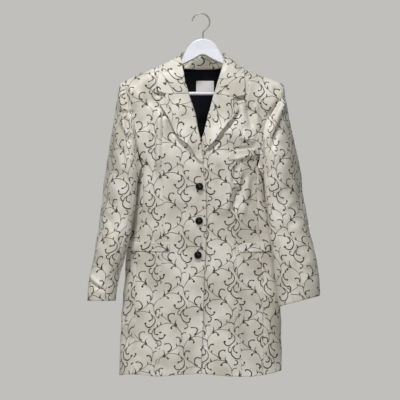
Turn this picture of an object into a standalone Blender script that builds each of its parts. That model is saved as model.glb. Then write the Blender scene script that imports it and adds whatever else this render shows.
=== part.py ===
"""Longline blazer on a wooden hanger.

Metres, +Z up, front towards -Y, origin at the inside top of the hook. Tables below are in millimetres.
The body is one skin worked out from level sections and the shoulder line; every panel is a patch of it.
"""
import math

import bpy
import numpy as np

MM = 0.001
CLOTH = 1.6          # wall of every cloth panel
SEAM = 0.15          # each panel stops this far short of a seam
LIE = 0.5            # air between a panel and what lies on it
LAP = 2.3            # the right front passes over the left by this much
ROLL = 1.5           # air inside the turned edge of a lapel
FOLD = 1.2           # radius of the turned edge of the collar
COLLAR_AIR = 1.4     # air between the collar's fall and the panels
ROUND = 60.0         # height over which the cloth turns over the shoulder
FLAT = 2.6           # exponent of the body section, 2 is an ellipse
WIRE = 1.9           # radius of the hook wire
BAR = 5.0            # radius of the trouser bar
WOOD = 16.0          # thickness of the hanger
HANGER_X = 5.5       # centre of the hanger
HOOK_R = 24.0        # radius of the hook, to the middle of the wire

# height, left edge, right edge, front depth, back depth
SECTIONS = (
    (-1010, -224, 219, 64, 56),
    (-920, -221, 220, 62, 54),
    (-795, -213, 217, 58, 50),
    (-645, -201, 203, 56, 44),
    (-560, -187, 190, 58, 42),
    (-520, -180, 182, 60, 43),
    (-440, -177, 176, 67, 50),
    (-390, -194, 190, 67, 53),
    (-340, -216, 212, 64, 54),
    (-280, -236, 236, 55, 52),
    (-200, -248, 250, 43, 46),
    (-140, -250, 252, 35, 41),
    (-90, -250, 252, 30, 38),
)

# shoulder line: across, height
RIDGE = (
    (-250, -214), (-222, -193), (-198, -180), (-158, -160), (-110, -145), (-80, -138), (-50, -125),
    (5, -108), (50, -120), (82, -137), (113, -152), (143, -162), (183, -177), (220, -193), (250, -219),
)

# back neck seam: across, height
NECK = ((-80, -138), (-60, -146), (-30, -149.5), (5, -150), (34, -149.5), (64, -145), (82, -137))

# height, across: the front edge below, the turned edge and neck seam above
EDGE_RIGHT = (
    (-1010, 0), (-899, 2), (-836, 6), (-731, 8), (-630, 13), (-516, 14), (-415, 5), (-345, -5),
    (-220, -36.5), (-187, -49), (-157, -64), (-138, -80),
)
EDGE_LEFT = (
    (-1010, -26), (-700, -26), (-440, -26), (-400, -13), (-345, 5.5),
    (-220, 40.5), (-187, 54), (-157, 69), (-137, 82),
)
# height, across: princess seams
PRINCESS_RIGHT = (
    (-1010, -118), (-800, -112), (-640, -106), (-520, -102), (-450, -105), (-400, -107), (-330, -105),
    (-270, -104), (-150, -118),
)
PRINCESS_LEFT = (
    (-1010, 112), (-800, 104), (-640, 95), (-530, 93), (-436, 103), (-350, 112), (-272, 121), (-158, 134),
)
# height, across: front seam of the side panel, then the armhole up to the shoulder point
ARM_FRONT_RIGHT = (
    (-1010, -184), (-800, -181), (-650, -171), (-520, -157), (-420, -159), (-385, -171), (-340, -178),
    (-275, -185), (-250, -193), (-225, -203), (-193, -222),
)
ARM_FRONT_LEFT = (
    (-1010, 170), (-800, 170), (-650, 163), (-520, 155), (-420, 152), (-385, 162), (-345, 168),
    (-305, 175), (-272, 195), (-240, 212), (-199, 226),
)
ARM_BACK_RIGHT = (
    (-1010, -176), (-800, -172), (-650, -162), (-520, -150), (-420, -160), (-390, -173), (-340, -182),
    (-270, -192), (-225, -206), (-193, -222),
)
ARM_BACK_LEFT = (
    (-1010, 172), (-800, 170), (-650, 160), (-520, 150), (-420, 156), (-390, 170), (-340, 178),
    (-275, 192), (-235, 211), (-199, 226),
)
# drop of the upper rows below the shoulder line, then shares of the way to the armpit row
DROPS = (0, 2, 8, 18, 34, 60)
SHARES = (0.22, 0.44, 0.66, 0.85, 1.0)
NECK_ROWS = (-142.5, -147, -155, -168, -187)
ARMPIT = -420.0
LOWER_ROWS = (-450, -485, -520, -560, -600, -640, -685, -735, -790, -850, -915, -965)

# hem: across, height
HEM = (
    (-230, -994), (-198, -987), (-168, -986), (-122, -990), (-70, -986), (-4, -982), (71, -989),
    (124, -991), (183, -986), (222, -978),
)

# large folds on the front: across and height of both ends, half width, height of the ridge
FOLDS = (
    (-101, -270, -106, -450, 13, 4.0),
    (-128, -285, -133, -420, 15, -4.0),
    (-150, -170, -138, -270, 22, -5.0),
    (150, -190, 142, -300, 22, -4.0),
    (108, -330, 150, -345, 16, 4.0),
    (118, -430, 96, -545, 15, -5.0),
    (86, -440, 70, -560, 20, 3.5),
    (-60, -700, -75, -990, 34, 4.0),
    (75, -690, 92, -990, 36, 4.0),
    (150, -700, 160, -990, 26, -4.0),
)

# lapels: edge from the foot to the tip, then the gorge corner; across, height
LAPEL_EDGE_RIGHT = ((6, -414), (-11, -396), (-26, -372), (-62, -338), (-89, -288), (-112, -249))
LAPEL_EDGE_LEFT = ((12, -378), (39, -347), (62, -318), (81, -296), (102, -264))
NOTCH_RIGHT = (-93, -223)
NOTCH_LEFT = (87, -233)
GORGE = -221.0
FOOT_RIGHT = -407.0
FOOT_LEFT = -347.0

# collar: station, seam across or height, turn x, y, z, outer edge x, y, z (None: on the skin)
COLLAR = (
    (0, -218.5, (-35.0, None, -218.5), (-118, None, -216)),
    (5, -187, (-45, None, -182), (-117, None, -189)),
    (9, -157, (-53, -22, -141), (-114, None, -163)),
    (12, -138, (-57, 3, -113), (-110, 0, -145)),
    (15, -62, (-50, 28, -106), (-90, 38, -160)),
    (18, 5, (5, 38, -103), (5, 52, -167)),
    (21, 66, (57, 28, -106), (95, 38, -163)),
    (24, -137, (66, 3, -113), (114, 0, -152)),
    (27, -157, (61, -22, -143), (118, None, -180)),
    (31, -187, (50, None, -182), (119, None, -204)),
    (36, -218.5, (39.0, None, -218.5), (118, None, -227)),
)
SIDES = (12, 24)     # collar stations at the shoulder seams

# sleeves: height, outer edge, inner edge, middle depth, half depth, turn
SLEEVE_RIGHT = (
    (-475, -267, -176, -8, 60, 25), (-520, -272, -179, -12, 57, 24), (-590, -280, -190, -22, 52, 18),
    (-650, -290, -205, -34, 49, 9), (-700, -298, -218, -40, 46, 3), (-745, -305, -229, -44, 44, 0),
    (-785, -307, -233, -46, 42, 0),
)
SLEEVE_LEFT = (
    (-475, 278, 176, -20, 56, 30), (-520, 284, 178, -27, 53, 29), (-590, 296, 187, -41, 48, 22),
    (-650, 308, 195, -52, 45, 13), (-700, 315, 200, -57, 43, 7), (-745, 321, 205, -60, 41, 2),
    (-785, 321, 215, -60, 40, 0),
)
CUFF_TILT_RIGHT = (0.0, -5.0)    # rise towards the outer side, rise towards the front
CUFF_TILT_LEFT = (8.0, 0.0)

# hanger, half outline from the middle out along the top, then back along the underside
HANGER = (
    (0, -68), (15, -70.5), (29, -78), (42, -93.5), (51, -109), (57, -123), (65, -132), (75, -140),
    (85, -145), (110, -154.2), (140, -167), (180, -186), (203, -198), (211, -206), (212, -216), (207, -227),
    (198, -231), (189, -227), (184, -214), (170, -203), (140, -187), (110, -174), (85, -161), (57, -141),
    (25, -125), (0, -113),
)
BAR_Z = -219.0
BAR_HALF = 183.5

BUTTONS = (("button_top", -4, -475), ("button_middle", -5, -568), ("button_bottom", -8, -661))
# half profile of a button: radius, height
BUTTON_PROFILE = (
    (0, 8.0), (3.5, 7.8), (6.8, 6.8), (9.2, 5.0), (10.5, 3.0), (10.2, 1.8), (9.0, 1.2), (3.0, 1.0),
    (3.0, 0.0), (0, 0.0),
)
# welts: name, two lower corners then two upper corners, across and height, faces across and down
WELTS = (
    ("breast_welt", (75, -403), (146, -399), (76, -377), (147, -373), 8, 3),
    ("hip_welt_right", (-197, -650), (-85, -652), (-196, -626), (-85, -628), 10, 3),
    ("hip_welt_left", (103, -653), (186, -652), (103, -630), (186, -629), 10, 3),
)
LABEL = (-13, 36, -181, -217)

IVORY = (0.60, 0.57, 0.49)
INK = (0.006, 0.007, 0.012)
WHITE = (0.78, 0.80, 0.86)


def smooth(table, at):
    """Monotone cubic through the rows of a two-column table."""
    rows = np.array(sorted(table), float)
    key, value = rows[:, 0], rows[:, 1]
    step = np.diff(key)
    rise = np.diff(value) / step
    slope = np.concatenate(([rise[0]], np.zeros(len(key) - 2), [rise[-1]]))
    same = rise[:-1] * rise[1:] > 0
    total = np.where(same, rise[:-1] + rise[1:], 1.0)
    slope[1:-1] = np.where(same, 2 * rise[:-1] * rise[1:] / total, 0.0)
    at = np.clip(np.asarray(at, float), key[0], key[-1])
    i = np.clip(np.searchsorted(key, at, side="right") - 1, 0, len(step) - 1)
    t = (at - key[i]) / step[i]
    rise_a = slope[i] * step[i] * t * (1 - t) ** 2
    rise_b = slope[i + 1] * step[i] * t * t * (1 - t)
    return value[i] * (1 + 2 * t) * (1 - t) ** 2 + value[i + 1] * t * t * (3 - 2 * t) + rise_a - rise_b


def column(table, index, at):
    """One named column of a many-column table, smoothed over its first column."""
    return smooth([(row[0], row[index]) for row in table], at)


def ease(t):
    t = np.clip(t, 0.0, 1.0)
    return t * t * (3 - 2 * t)


def unit(v):
    return v / np.maximum(np.linalg.norm(v, axis=-1, keepdims=True), 1e-12)


def fold_height(x, z):
    """Sum of soft ridges along the fold lines."""
    total = np.zeros(np.broadcast(x, z).shape)
    for x0, z0, x1, z1, wide, high in FOLDS:
        dx, dz = x1 - x0, z1 - z0
        t = ((x - x0) * dx + (z - z0) * dz) / (dx * dx + dz * dz)
        near = np.clip(t, 0, 1)
        away = np.hypot(x - x0 - near * dx, z - z0 - near * dz)
        total = total + high * np.exp(-(away / wide) ** 2) * ease(4 * near) * ease(4 - 4 * near)
    return total


def skin(phi, z, lap=False):
    """Point on the inner side of the cloth: angle round the body from the front middle, and height."""
    left, right = column(SECTIONS, 1, z), column(SECTIONS, 2, z)
    across, turned = np.sin(phi), np.cos(phi)
    x = (left + right) / 2 + (right - left) / 2 * across
    side = np.sqrt(np.clip(1 - np.abs(across) ** FLAT, 0, 1))
    h = np.clip((smooth(RIDGE, x) - z) / ROUND, 0, 1)
    over = np.sqrt(h * (2 - h))
    front = column(SECTIONS, 3, z) * side * over
    back = column(SECTIONS, 4, z) * side * over
    front = front + fold_height(x, z) * np.clip(side * 1.5, 0, 1) * over
    if lap:
        front = front + LAP * ease((x + 75) / 40) * ease((-300 - z) / 60)
    return np.stack(np.broadcast_arrays(x, np.where(turned >= 0, -front, back), z), axis=-1)


def outward(phi, z, lap=False):
    """Unit normal of the skin, away from the hollow."""
    e, d = 0.004, 0.8
    around = skin(phi + e, z, lap) - skin(phi - e, z, lap)
    upward = skin(phi, z + d, lap) - skin(phi, z - d, lap)
    return unit(np.cross(around, upward))


def angle(x, z, back=False):
    """Angle on the skin of a point given across and by height."""
    left, right = column(SECTIONS, 1, z), column(SECTIONS, 2, z)
    q = np.clip((x - (left + right) / 2) / ((right - left) / 2), -1, 1)
    return math.pi - np.arcsin(q) if back else np.arcsin(q)


def laid(x, z, out, lap=False, back=False):
    """Point moved out from the skin, given across and by height."""
    x, z = np.broadcast_arrays(np.asarray(x, float), np.asarray(z, float))
    phi = angle(x, z, back)
    return skin(phi, z, lap) + outward(phi, z, lap) * np.asarray(out)[..., None]


def material(name, colour, rough, metal=0.0):
    found = bpy.data.materials.new(name)
    found.use_nodes = True
    shader = found.node_tree.nodes["Principled BSDF"]
    shader.inputs["Base Color"].default_value = (*colour, 1.0)
    shader.inputs["Roughness"].default_value = rough
    shader.inputs["Metallic"].default_value = metal
    return found


def keep(name, mesh, colour, rough, metal=0.0):
    node = bpy.data.objects.new(name, mesh)
    mesh.materials.append(material(name + "_look", colour, rough, metal))
    PARTS.objects.link(node)
    return node


def grid_normals(grid):
    return unit(np.cross(np.gradient(grid, axis=1), np.gradient(grid, axis=0)))


def wall(name, grid, thick, colour, rough, normals):
    """Closed wall over an open grid of points: the grid, the grid moved out, and the rim between them."""
    if np.sum(grid_normals(grid) * normals) < 0:
        grid, normals = grid[:, ::-1], normals[:, ::-1]
    rows, cols = grid.shape[:2]
    points = np.concatenate((grid.reshape(-1, 3), (grid + normals * thick).reshape(-1, 3))) * MM
    index = np.arange(rows * cols).reshape(rows, cols)
    a, b = index[:-1, :-1].ravel(), index[:-1, 1:].ravel()
    c, d = index[1:, 1:].ravel(), index[1:, :-1].ravel()
    lower = np.concatenate((np.stack((a, d, c), 1), np.stack((a, c, b), 1)))
    upper = lower[:, ::-1] + rows * cols
    ring = np.concatenate((index[0, :-1], index[:-1, -1], index[-1, :0:-1], index[:0:-1, 0]))
    after = np.roll(ring, -1)
    far = rows * cols
    rim_low = np.stack((ring, after, after + far), 1)
    rim_high = np.stack((ring, after + far, ring + far), 1)
    rim = np.concatenate((rim_low, rim_high))
    faces = np.concatenate((lower, upper, rim))
    mesh = bpy.data.meshes.new(name)
    mesh.from_pydata(points.tolist(), [], faces.tolist())
    mesh.validate()
    return keep(name, mesh, colour, rough)


def inset(grid, sides):
    """Draw the named sides of a grid in by the seam allowance."""
    out = grid.copy()
    if "first" in sides:
        out[:, 0] += unit(grid[:, 1] - grid[:, 0]) * SEAM
    if "last" in sides:
        out[:, -1] += unit(grid[:, -2] - grid[:, -1]) * SEAM
    if "top" in sides:
        out[0] += unit(grid[1] - grid[0]) * SEAM
    return out


def rows_at(table, shoulder_x, neck=False):
    """Heights down one boundary: shoulder, upper rows, armpit, lower rows, hem."""
    top = float(smooth(RIDGE, shoulder_x))
    upper = [top] + list(NECK_ROWS) if neck else [top - d for d in DROPS]
    between = [upper[-1] + s * (ARMPIT - upper[-1]) for s in SHARES]
    z = np.array(upper + between + list(LOWER_ROWS), float)
    z = np.append(z, smooth(HEM, smooth(table, -1000)))
    x = smooth(table, z)
    x[0] = shoulder_x
    return x, z


def strings(ends, counts):
    """Rows of angle and height between boundary strings, a number of columns between each pair."""
    phi, z = [], []
    for (p0, z0), (p1, z1), n in zip(ends[:-1], ends[1:], counts):
        t = np.linspace(0, 1, n + 1)[None, :]
        phi.append(p0[:, None] * (1 - t) + p1[:, None] * t)
        z.append(z0[:, None] * (1 - t) + z1[:, None] * t)
    return phi, z


def settle(phi, z, top):
    """Make the upper rows follow the top line and the hem row follow the hem."""
    for _ in range(3):
        x = skin(phi, z)[..., 0]
        for row, drop in enumerate(DROPS):
            z[row] = top(x[row]) - drop
        z[-1] = smooth(HEM, x[-1])
    return z


def front_panels(tag, edge, princess, arm, neck_x, princess_x, tip_x, lap):
    """Centre front and side front of one side; gives back the armhole points and their normals."""
    x0, z0 = rows_at(edge, neck_x, neck=True)
    x1, z1 = rows_at(princess, princess_x)
    x2, z2 = rows_at(arm, tip_x)
    ends = ((angle(x0, z0), z0), (angle(x1, z1), z1), (angle(x2, z2), z2))
    phis, zs = strings(ends, (6, 4))
    for name, phi, z in (("front_" + tag, phis[0], zs[0]), ("side_front_" + tag, phis[1], zs[1])):
        first = name.startswith("front")
        if first:
            inner = z[:, 0].copy()
            blend = np.linspace(0, 1, z.shape[1])[None, :]
            followed = settle(phi, z.copy(), lambda x: smooth(RIDGE, x))
            z[:len(DROPS)] = followed[:len(DROPS)] * blend + z[:len(DROPS)] * (1 - blend)
            z[0] = smooth(RIDGE, skin(phi, z)[0, :, 0])
            z[-1] = followed[-1]
            z[1:-1, 0] = inner[1:-1]
        else:
            z = settle(phi, z, lambda x: smooth(RIDGE, x))
        base, normals = skin(phi, z, lap), outward(phi, z, lap)
        if not first:
            edge_points = base[:, -1].copy(), normals[:, -1].copy()
        sides = ("last", "top") if first else ("first", "last", "top")
        wall(name, inset(base, sides), CLOTH, IVORY, 0.42, normals)
    return edge_points


def back_panel():
    """One back panel; gives back the armhole points and normals of the left and the right side."""
    xr, zr = rows_at(ARM_BACK_LEFT, 226)
    xl, zl = rows_at(ARM_BACK_RIGHT, -222)
    straight = np.ones(len(zr))
    ends = (
        (angle(xr, zr, True), zr),
        (angle(82 * straight, zr, True), zr.copy()),
        (angle(-80 * straight, zl, True), zl.copy()),
        (angle(xl, zl, True), zl),
    )
    phis, zs = strings(ends, (5, 8, 5))
    phi = np.concatenate((phis[0], phis[1][:, 1:], phis[2][:, 1:]), 1)
    z = np.concatenate((zs[0], zs[1][:, 1:], zs[2][:, 1:]), 1)

    def top(x):
        return np.where((x > -80) & (x < 82), smooth(NECK, x), smooth(RIDGE, x))

    z = settle(phi, z, top)
    for row, share in enumerate(SHARES[:-1]):
        upper = z[len(DROPS) - 1]
        z[len(DROPS) + row] = upper + share * (ARMPIT - upper)
    base, normals = skin(phi, z), outward(phi, z)
    wall("back", inset(base, ("first", "last", "top")), CLOTH, IVORY, 0.42, normals)
    return (base[:, 0], normals[:, 0]), (base[:, -1], normals[:, -1])


def side_panel(tag, front_arm, back_arm, sign):
    """Side panel from the front side seam round to the back side seam; gives back its top row."""
    x0, z0 = rows_at(front_arm, -222 if sign < 0 else 226)
    x1, z1 = rows_at(back_arm, -222 if sign < 0 else 226)
    first = len(DROPS) + len(SHARES) - 1
    z0, z1, x0, x1 = z0[first:], z1[first:], x0[first:], x1[first:]
    p0, p1 = angle(x0, z0), angle(x1, z1, True)
    if sign < 0:
        p1 = p1 - 2 * math.pi
    phis, zs = strings(((p0, z0), (p1, z1)), (6,))
    phi, z = phis[0], zs[0]
    z[0] -= 18 * np.sin(np.linspace(0, math.pi, 7))
    z[1] -= 6 * np.sin(np.linspace(0, math.pi, 7))
    for _ in range(2):
        z[-1] = smooth(HEM, skin(phi, z)[-1, :, 0])
    base, normals = skin(phi, z), outward(phi, z)
    wall("side_" + tag, inset(base, ("first", "last")), CLOTH, IVORY, 0.42, normals)
    return base[0], normals[0]


def ring_points(table, theta, z, sign, tilt):
    """Sleeve section: angle from the outer side towards the front, at a height."""
    outer, inner = column(table, 1, z), column(table, 2, z)
    middle, deep, turn = column(table, 3, z), column(table, 4, z), column(table, 5, z)
    wide = np.sqrt(((outer - inner) / 2) ** 2 - turn ** 2)
    c, s = np.cos(theta), np.sin(theta)
    x = (outer + inner) / 2 + sign * (wide * c - turn * s)
    level = ease((-650 - z) / 130)
    return np.stack((x, middle - deep * s, z + level * (tilt[0] * c + tilt[1] * s)), axis=-1)


def sleeve(tag, front_edge, side_top, back_edge, table, sign, tilt):
    """Two-piece sleeve: the cap ruled from the armhole out and down to the first section, then sections."""
    last = len(DROPS) + len(SHARES)
    fp, fn = front_edge[0][:last], front_edge[1][:last]
    bp, bn = back_edge[0][:last][::-1], back_edge[1][:last][::-1]
    points = np.concatenate((fp, side_top[0][1:-1], bp))
    ups = np.concatenate((fn, side_top[1][1:-1], bn))
    under = np.concatenate((np.linspace(0, 1, last) ** 6, np.ones(len(side_top[0]) - 2),
                            np.linspace(1, 0, last) ** 6))
    points = points + unit(ups) * (CLOTH + LIE + CLOTH * under)[:, None]
    tip = (points[0] + points[-1]) / 2
    points[0], points[-1] = tip, tip

    def spread(p, a, b):
        run = np.concatenate(([0], np.cumsum(np.linalg.norm(np.diff(p, axis=0), axis=1))))
        return np.radians(a + (b - a) * run / run[-1])

    theta = np.concatenate((spread(fp, 0, 138), np.radians(np.linspace(138, 224, len(side_top[0])))[1:-1],
                            spread(bp, 224, 360)))
    first = ring_points(table, theta, np.full(len(theta), -475.0), sign, tilt)
    below = ring_points(table, theta, np.full(len(theta), -520.0), sign, tilt)
    bend = first.copy()
    bend[:, 2] = points[:, 2] + 0.42 * (first[:, 2] - points[:, 2])
    bend[:, :2] += ((below - first)[:, :2] / -45.0) * 0.8 * (bend[:, 2:] + 475.0)
    rows = []
    for t in (0, 0.04, 0.11, 0.22, 0.36, 0.52, 0.68, 0.84):
        rows.append(points * (1 - t) ** 2 + bend * 2 * t * (1 - t) + first * t * t)
    for z in (-475, -508, -545, -585, -625, -665, -700, -735, -762, -785):
        rows.append(ring_points(table, theta, np.full(len(theta), float(z)), sign, tilt))
    grid = np.array(rows)
    a = int(np.argmin(np.abs(theta - math.radians(112))))
    b = int(np.argmin(np.abs(theta - math.radians(250))))
    loop = grid[:, :-1]
    wrapped = np.concatenate((loop[:, -1:], loop, loop[:, :1]), 1)
    normals = grid_normals(wrapped)[:, 1:-1]
    normals = np.concatenate((normals, normals[:, :1]), 1)
    normals = normals * np.sign(normals[-1, 0, 0] * sign)
    top_index = list(range(b, len(theta) - 1)) + list(range(0, a + 1))
    under_index = list(range(a, b + 1))
    for name, index in (("top_sleeve_" + tag, top_index), ("under_sleeve_" + tag, under_index)):
        wall(name, inset(grid[:, index], ("first", "last")), CLOTH, IVORY, 0.42, normals[:, index])


def poly(points, t):
    """Point along a line of straight pieces, by share of its length."""
    p = np.array(points, float)
    run = np.concatenate(([0], np.cumsum(np.hypot(*np.diff(p, axis=0).T))))
    return np.stack((np.interp(t * run[-1], run, p[:, 0]), np.interp(t * run[-1], run, p[:, 1])), -1)


def lapel(tag, edge, foot, outer, notch, lap, sign):
    """Facing strip inside, turned edge, and the lapel leaf over the front."""
    s = np.linspace(0, 1, 13)
    w = np.linspace(0, 1, 8)
    z_line = foot + (GORGE - foot) * s
    line = np.stack((smooth(edge, z_line), z_line), -1)
    rim = poly(outer, s)
    gorge = np.where((w < 0.72)[:, None], line[-1] + (np.array(notch) - line[-1]) * (w / 0.72)[:, None],
                     np.array(notch) + (rim[-1] - np.array(notch)) * ((w - 0.72) / 0.28)[:, None])
    low = line[0] + (rim[0] - line[0]) * w[:, None]
    ss, ww = s[:, None, None], w[None, :, None]
    flat = (1 - ww) * line[:, None] + ww * rim[:, None] + (1 - ss) * low[None] + ss * gorge[None]
    flat = flat - (1 - ww) * ((1 - ss) * line[0] + ss * line[-1]) - ww * ((1 - ss) * rim[0] + ss * rim[-1])
    belly = 5.0 * ww[..., 0] ** 2 * np.sin(math.pi * ss[..., 0] ** 0.8) ** 2
    stand_off = LIE + (ROLL - LIE) * (1 - ww[..., 0]) ** 2 + belly
    leaf = laid(flat[..., 0], flat[..., 1], CLOTH + stand_off, lap)
    middle = laid(line[:, 0], line[:, 1], np.full(len(s), CLOTH / 2), lap)
    up = unit(leaf[:, 0] - middle)
    along = unit(np.gradient(middle, axis=0))
    inward = unit(np.cross(up, along))
    inward = np.where(inward[:, :1] * sign < 0, inward, -inward)
    radius = CLOTH / 2 + ROLL
    most = math.pi * (0.5 + 0.5 * ease((z_line + 345) / 20)) if tag == "right" else np.full(len(s), math.pi)
    turns = []
    for share in (1.0, 0.8, 0.6, 0.4, 0.2):
        a = (most * share)[:, None]
        turns.append(middle + radius * (np.cos(a) * up + np.sin(a) * inward))
    tuck = turns[0] - inward * (0.4 + 12.0 * ease((most[:, None] - 2.9) / 0.24))
    tuck[:, :] -= up * np.where(most[:, None] < 2.0, 0.6, 0.0)
    grid = np.concatenate((np.stack([tuck] + turns, 1), leaf), 1)
    ups = grid_normals(grid)
    wall("lapel_" + tag, grid, CLOTH, IVORY, 0.40, -ups * np.sign(ups[6, -3, 1]))


def shoulder_points():
    """Outer side of the panels about the neck and shoulders, as points and normals."""
    x = np.linspace(-132, 132, 133)[None, :]
    drop = 70 * (1 - np.cos(np.linspace(0, math.pi / 2, 26)))[:, None]
    spots, ups = [], []
    for back in (False, True):
        top = np.where((x > -80) & (x < 82), smooth(NECK, x), smooth(RIDGE, x)) if back else smooth(RIDGE, x)
        z = top - drop
        phi = angle(x + 0 * z, z, back)
        edge = np.where(x < 5, smooth(EDGE_RIGHT, z), smooth(EDGE_LEFT, z))
        there = (np.abs(x - 5) > np.abs(edge - 5)) | back
        up = outward(phi, z)
        spots.append((skin(phi, z) + up * CLOTH)[there])
        ups.append(up[there])
    return np.concatenate(spots), np.concatenate(ups)


def lifted(points, air):
    """Move points that come nearer the panels than the given air out along the panel's normal."""
    spots, ups = shoulder_points()
    flat = points.reshape(-1, 3).copy()
    for _ in range(4):
        nearest = np.argmin(np.sum((flat[:, None] - spots[None]) ** 2, -1), 1)
        off = np.sum((flat - spots[nearest]) * ups[nearest], -1)
        beside = np.linalg.norm(flat - spots[nearest], axis=-1) < 14
        flat += ups[nearest] * np.where(beside, np.clip(air - off, 0, None), 0)[:, None]
    return flat.reshape(points.shape)


def spline(control, key, at):
    """Smooth line through control points."""
    p, key, at = np.array(control, float), np.array(key, float), np.array(at, float)
    slope = np.gradient(p, key, axis=0)
    i = np.clip(np.searchsorted(key, at, side="right") - 1, 0, len(key) - 2)
    d = (key[i + 1] - key[i])[:, None]
    u = ((at - key[i]) / d[:, 0])[:, None]
    ends = p[i] * (1 + 2 * u) * (1 - u) ** 2 + p[i + 1] * u * u * (3 - 2 * u)
    return ends + slope[i] * d * u * (1 - u) ** 2 - slope[i + 1] * d * u * u * (1 - u)


def neck_seam(station):
    """Neck seam on the outer side of the panels: right front edge, back neck, left front edge."""
    first, last = SIDES
    front = [(row[0], row[1]) for row in COLLAR if row[0] <= first]
    behind = [(first, -80)] + [(row[0], row[1]) for row in COLLAR if first < row[0] < last] + [(last, 82)]
    other = [(row[0], row[1]) for row in COLLAR if row[0] >= last]
    z_right, z_left, x_back = smooth(front, station), smooth(other, station), smooth(behind, station)
    right = laid(smooth(EDGE_RIGHT, z_right), z_right, CLOTH)
    left = laid(smooth(EDGE_LEFT, z_left), z_left, CLOTH)
    back = laid(x_back, smooth(NECK, x_back), CLOTH, back=True)
    s = station[:, None]
    return np.where(s <= first, right, np.where(s >= last, left, back))


def collar():
    """Stand from the neck seam, turned edge, and the fall over the shoulders."""
    turn, edge = [], []
    for station, _, b, c in COLLAR:
        lift = 0.4 if station in (0, 36) else 3.0
        turn.append(laid(b[0], b[2], CLOTH + lift) if b[1] is None else np.array(b, float))
        edge.append(laid(c[0], c[2], CLOTH + COLLAR_AIR) if c[1] is None else np.array(c, float))
    count = 37
    station = np.arange(count, dtype=float)
    key = [row[0] for row in COLLAR]
    seam, turn, edge = neck_seam(station), spline(turn, key, station), spline(edge, key, station)
    rise = unit(turn - seam)
    share = np.linspace(0, 1, count)
    out = np.array([(0, -1, 0)] * count, float)
    sweep = ease((share - 0.12) / 0.28) - ease((share - 0.60) / 0.28)
    out[:, 1] = -1 + 2 * sweep
    half_way = np.clip(np.where(share < 0.5, share, 1 - share) / 0.5, 0, 1)
    out[:, 2] = 1.1 * np.sin(math.pi * half_way) * (1 - sweep ** 4)
    out = out - rise * np.sum(out * rise, -1, keepdims=True)
    out = unit(out)
    start = seam + rise * 0.8
    rows = [start, start * 0.67 + turn * 0.33, start * 0.33 + turn * 0.67]
    for a in (math.pi, 0.75 * math.pi, 0.5 * math.pi, 0.25 * math.pi, 0.0):
        rows.append(turn + out * FOLD * (1 + math.cos(a)) + rise * FOLD * math.sin(a))
    top = rows[-1]
    for w in (0.14, 0.3, 0.48, 0.66, 0.84, 1.0):
        bulge = 4.0 * w * (1 - w)
        rows.append(top * (1 - w) + edge * w + out * bulge)
    rows[8:] = list(np.moveaxis(lifted(np.stack(rows[8:], 1), COLLAR_AIR), 1, 0))
    grid = np.stack(rows, 1)
    ups = grid_normals(grid)
    wall("collar", grid, CLOTH, IVORY, 0.40, ups * np.sign(ups[18, -2, 1]))


def flat_patch(corners, across, down):
    a, b, c, d = (np.array(p, float) for p in corners)
    u = np.linspace(0, 1, across + 1)[None, :, None]
    v = np.linspace(0, 1, down + 1)[:, None, None]
    return (a * (1 - u) + b * u) * (1 - v) + (c * (1 - u) + d * u) * v


def lathe(name, profile, place, colour, rough):
    """Turned piece on a shank, its axis towards the front."""
    mesh = bpy.data.meshes.new(name)
    points = [(r * MM, 0.0, h * MM) for r, h in profile]
    mesh.from_pydata(points, [(i, i + 1) for i in range(len(points) - 1)], [])
    node = keep(name, mesh, colour, rough)
    screw = node.modifiers.new("turn", "SCREW")
    screw.steps = screw.render_steps = 20
    screw.use_merge_vertices = True
    screw.merge_threshold = 0.00001
    screw.use_normal_calculate = True
    node.rotation_euler = (math.radians(90), 0, 0)
    node.location = np.array(place) * MM


def tube(name, path, radius, colour, rough, metal):
    """Round bar along a line, closed ends."""
    curve = bpy.data.curves.new(name, "CURVE")
    curve.dimensions = "3D"
    curve.bevel_depth = radius * MM
    curve.bevel_resolution = 2
    curve.use_fill_caps = True
    line = curve.splines.new("POLY")
    line.points.add(len(path) - 1)
    for point, place in zip(line.points, path):
        point.co = (*(np.array(place) * MM), 1.0)
    node = bpy.data.objects.new(name, curve)
    curve.materials.append(material(name + "_look", colour, rough, metal))
    PARTS.objects.link(node)


def hanger():
    half = np.array(HANGER, float)
    outline = [(HANGER_X + x, z) for x, z in half] + [(HANGER_X - x, z) for x, z in half[-2:0:-1]]
    mesh = bpy.data.meshes.new("hanger_body")
    points = [(x * MM, WOOD / 2 * MM, z * MM) for x, z in outline]
    mesh.from_pydata(points, [], [list(range(len(points)))])
    node = keep("hanger_body", mesh, WHITE, 0.35)
    thick = node.modifiers.new("thick", "SOLIDIFY")
    thick.thickness = WOOD * MM
    thick.offset = -1
    soft = node.modifiers.new("soft", "BEVEL")
    soft.width = 4.0 * MM
    soft.segments = 2
    soft.limit_method = "ANGLE"
    soft.angle_limit = math.radians(60)
    tube("hanger_bar", [(HANGER_X - BAR_HALF + 0.3, 0, BAR_Z), (HANGER_X + BAR_HALF - 0.3, 0, BAR_Z)],
         BAR, WHITE, 0.35, 0.0)
    centre = -HOOK_R + WIRE
    path = [(HANGER_X, 0, -67.4), (HANGER_X, 0, -52), (HANGER_X + 3, 0, -47)]
    for degrees in range(-32, 174, 12):
        a = math.radians(degrees)
        path.append((HOOK_R * math.cos(a), 0, centre + HOOK_R * math.sin(a)))
    tube("hanger_hook", path, WIRE, (0.55, 0.55, 0.56), 0.25, 1.0)


for old in list(bpy.data.objects):
    bpy.data.objects.remove(old, do_unlink=True)
PARTS = bpy.data.collections.new("longline_blazer")
bpy.context.scene.collection.children.link(PARTS)

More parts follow.
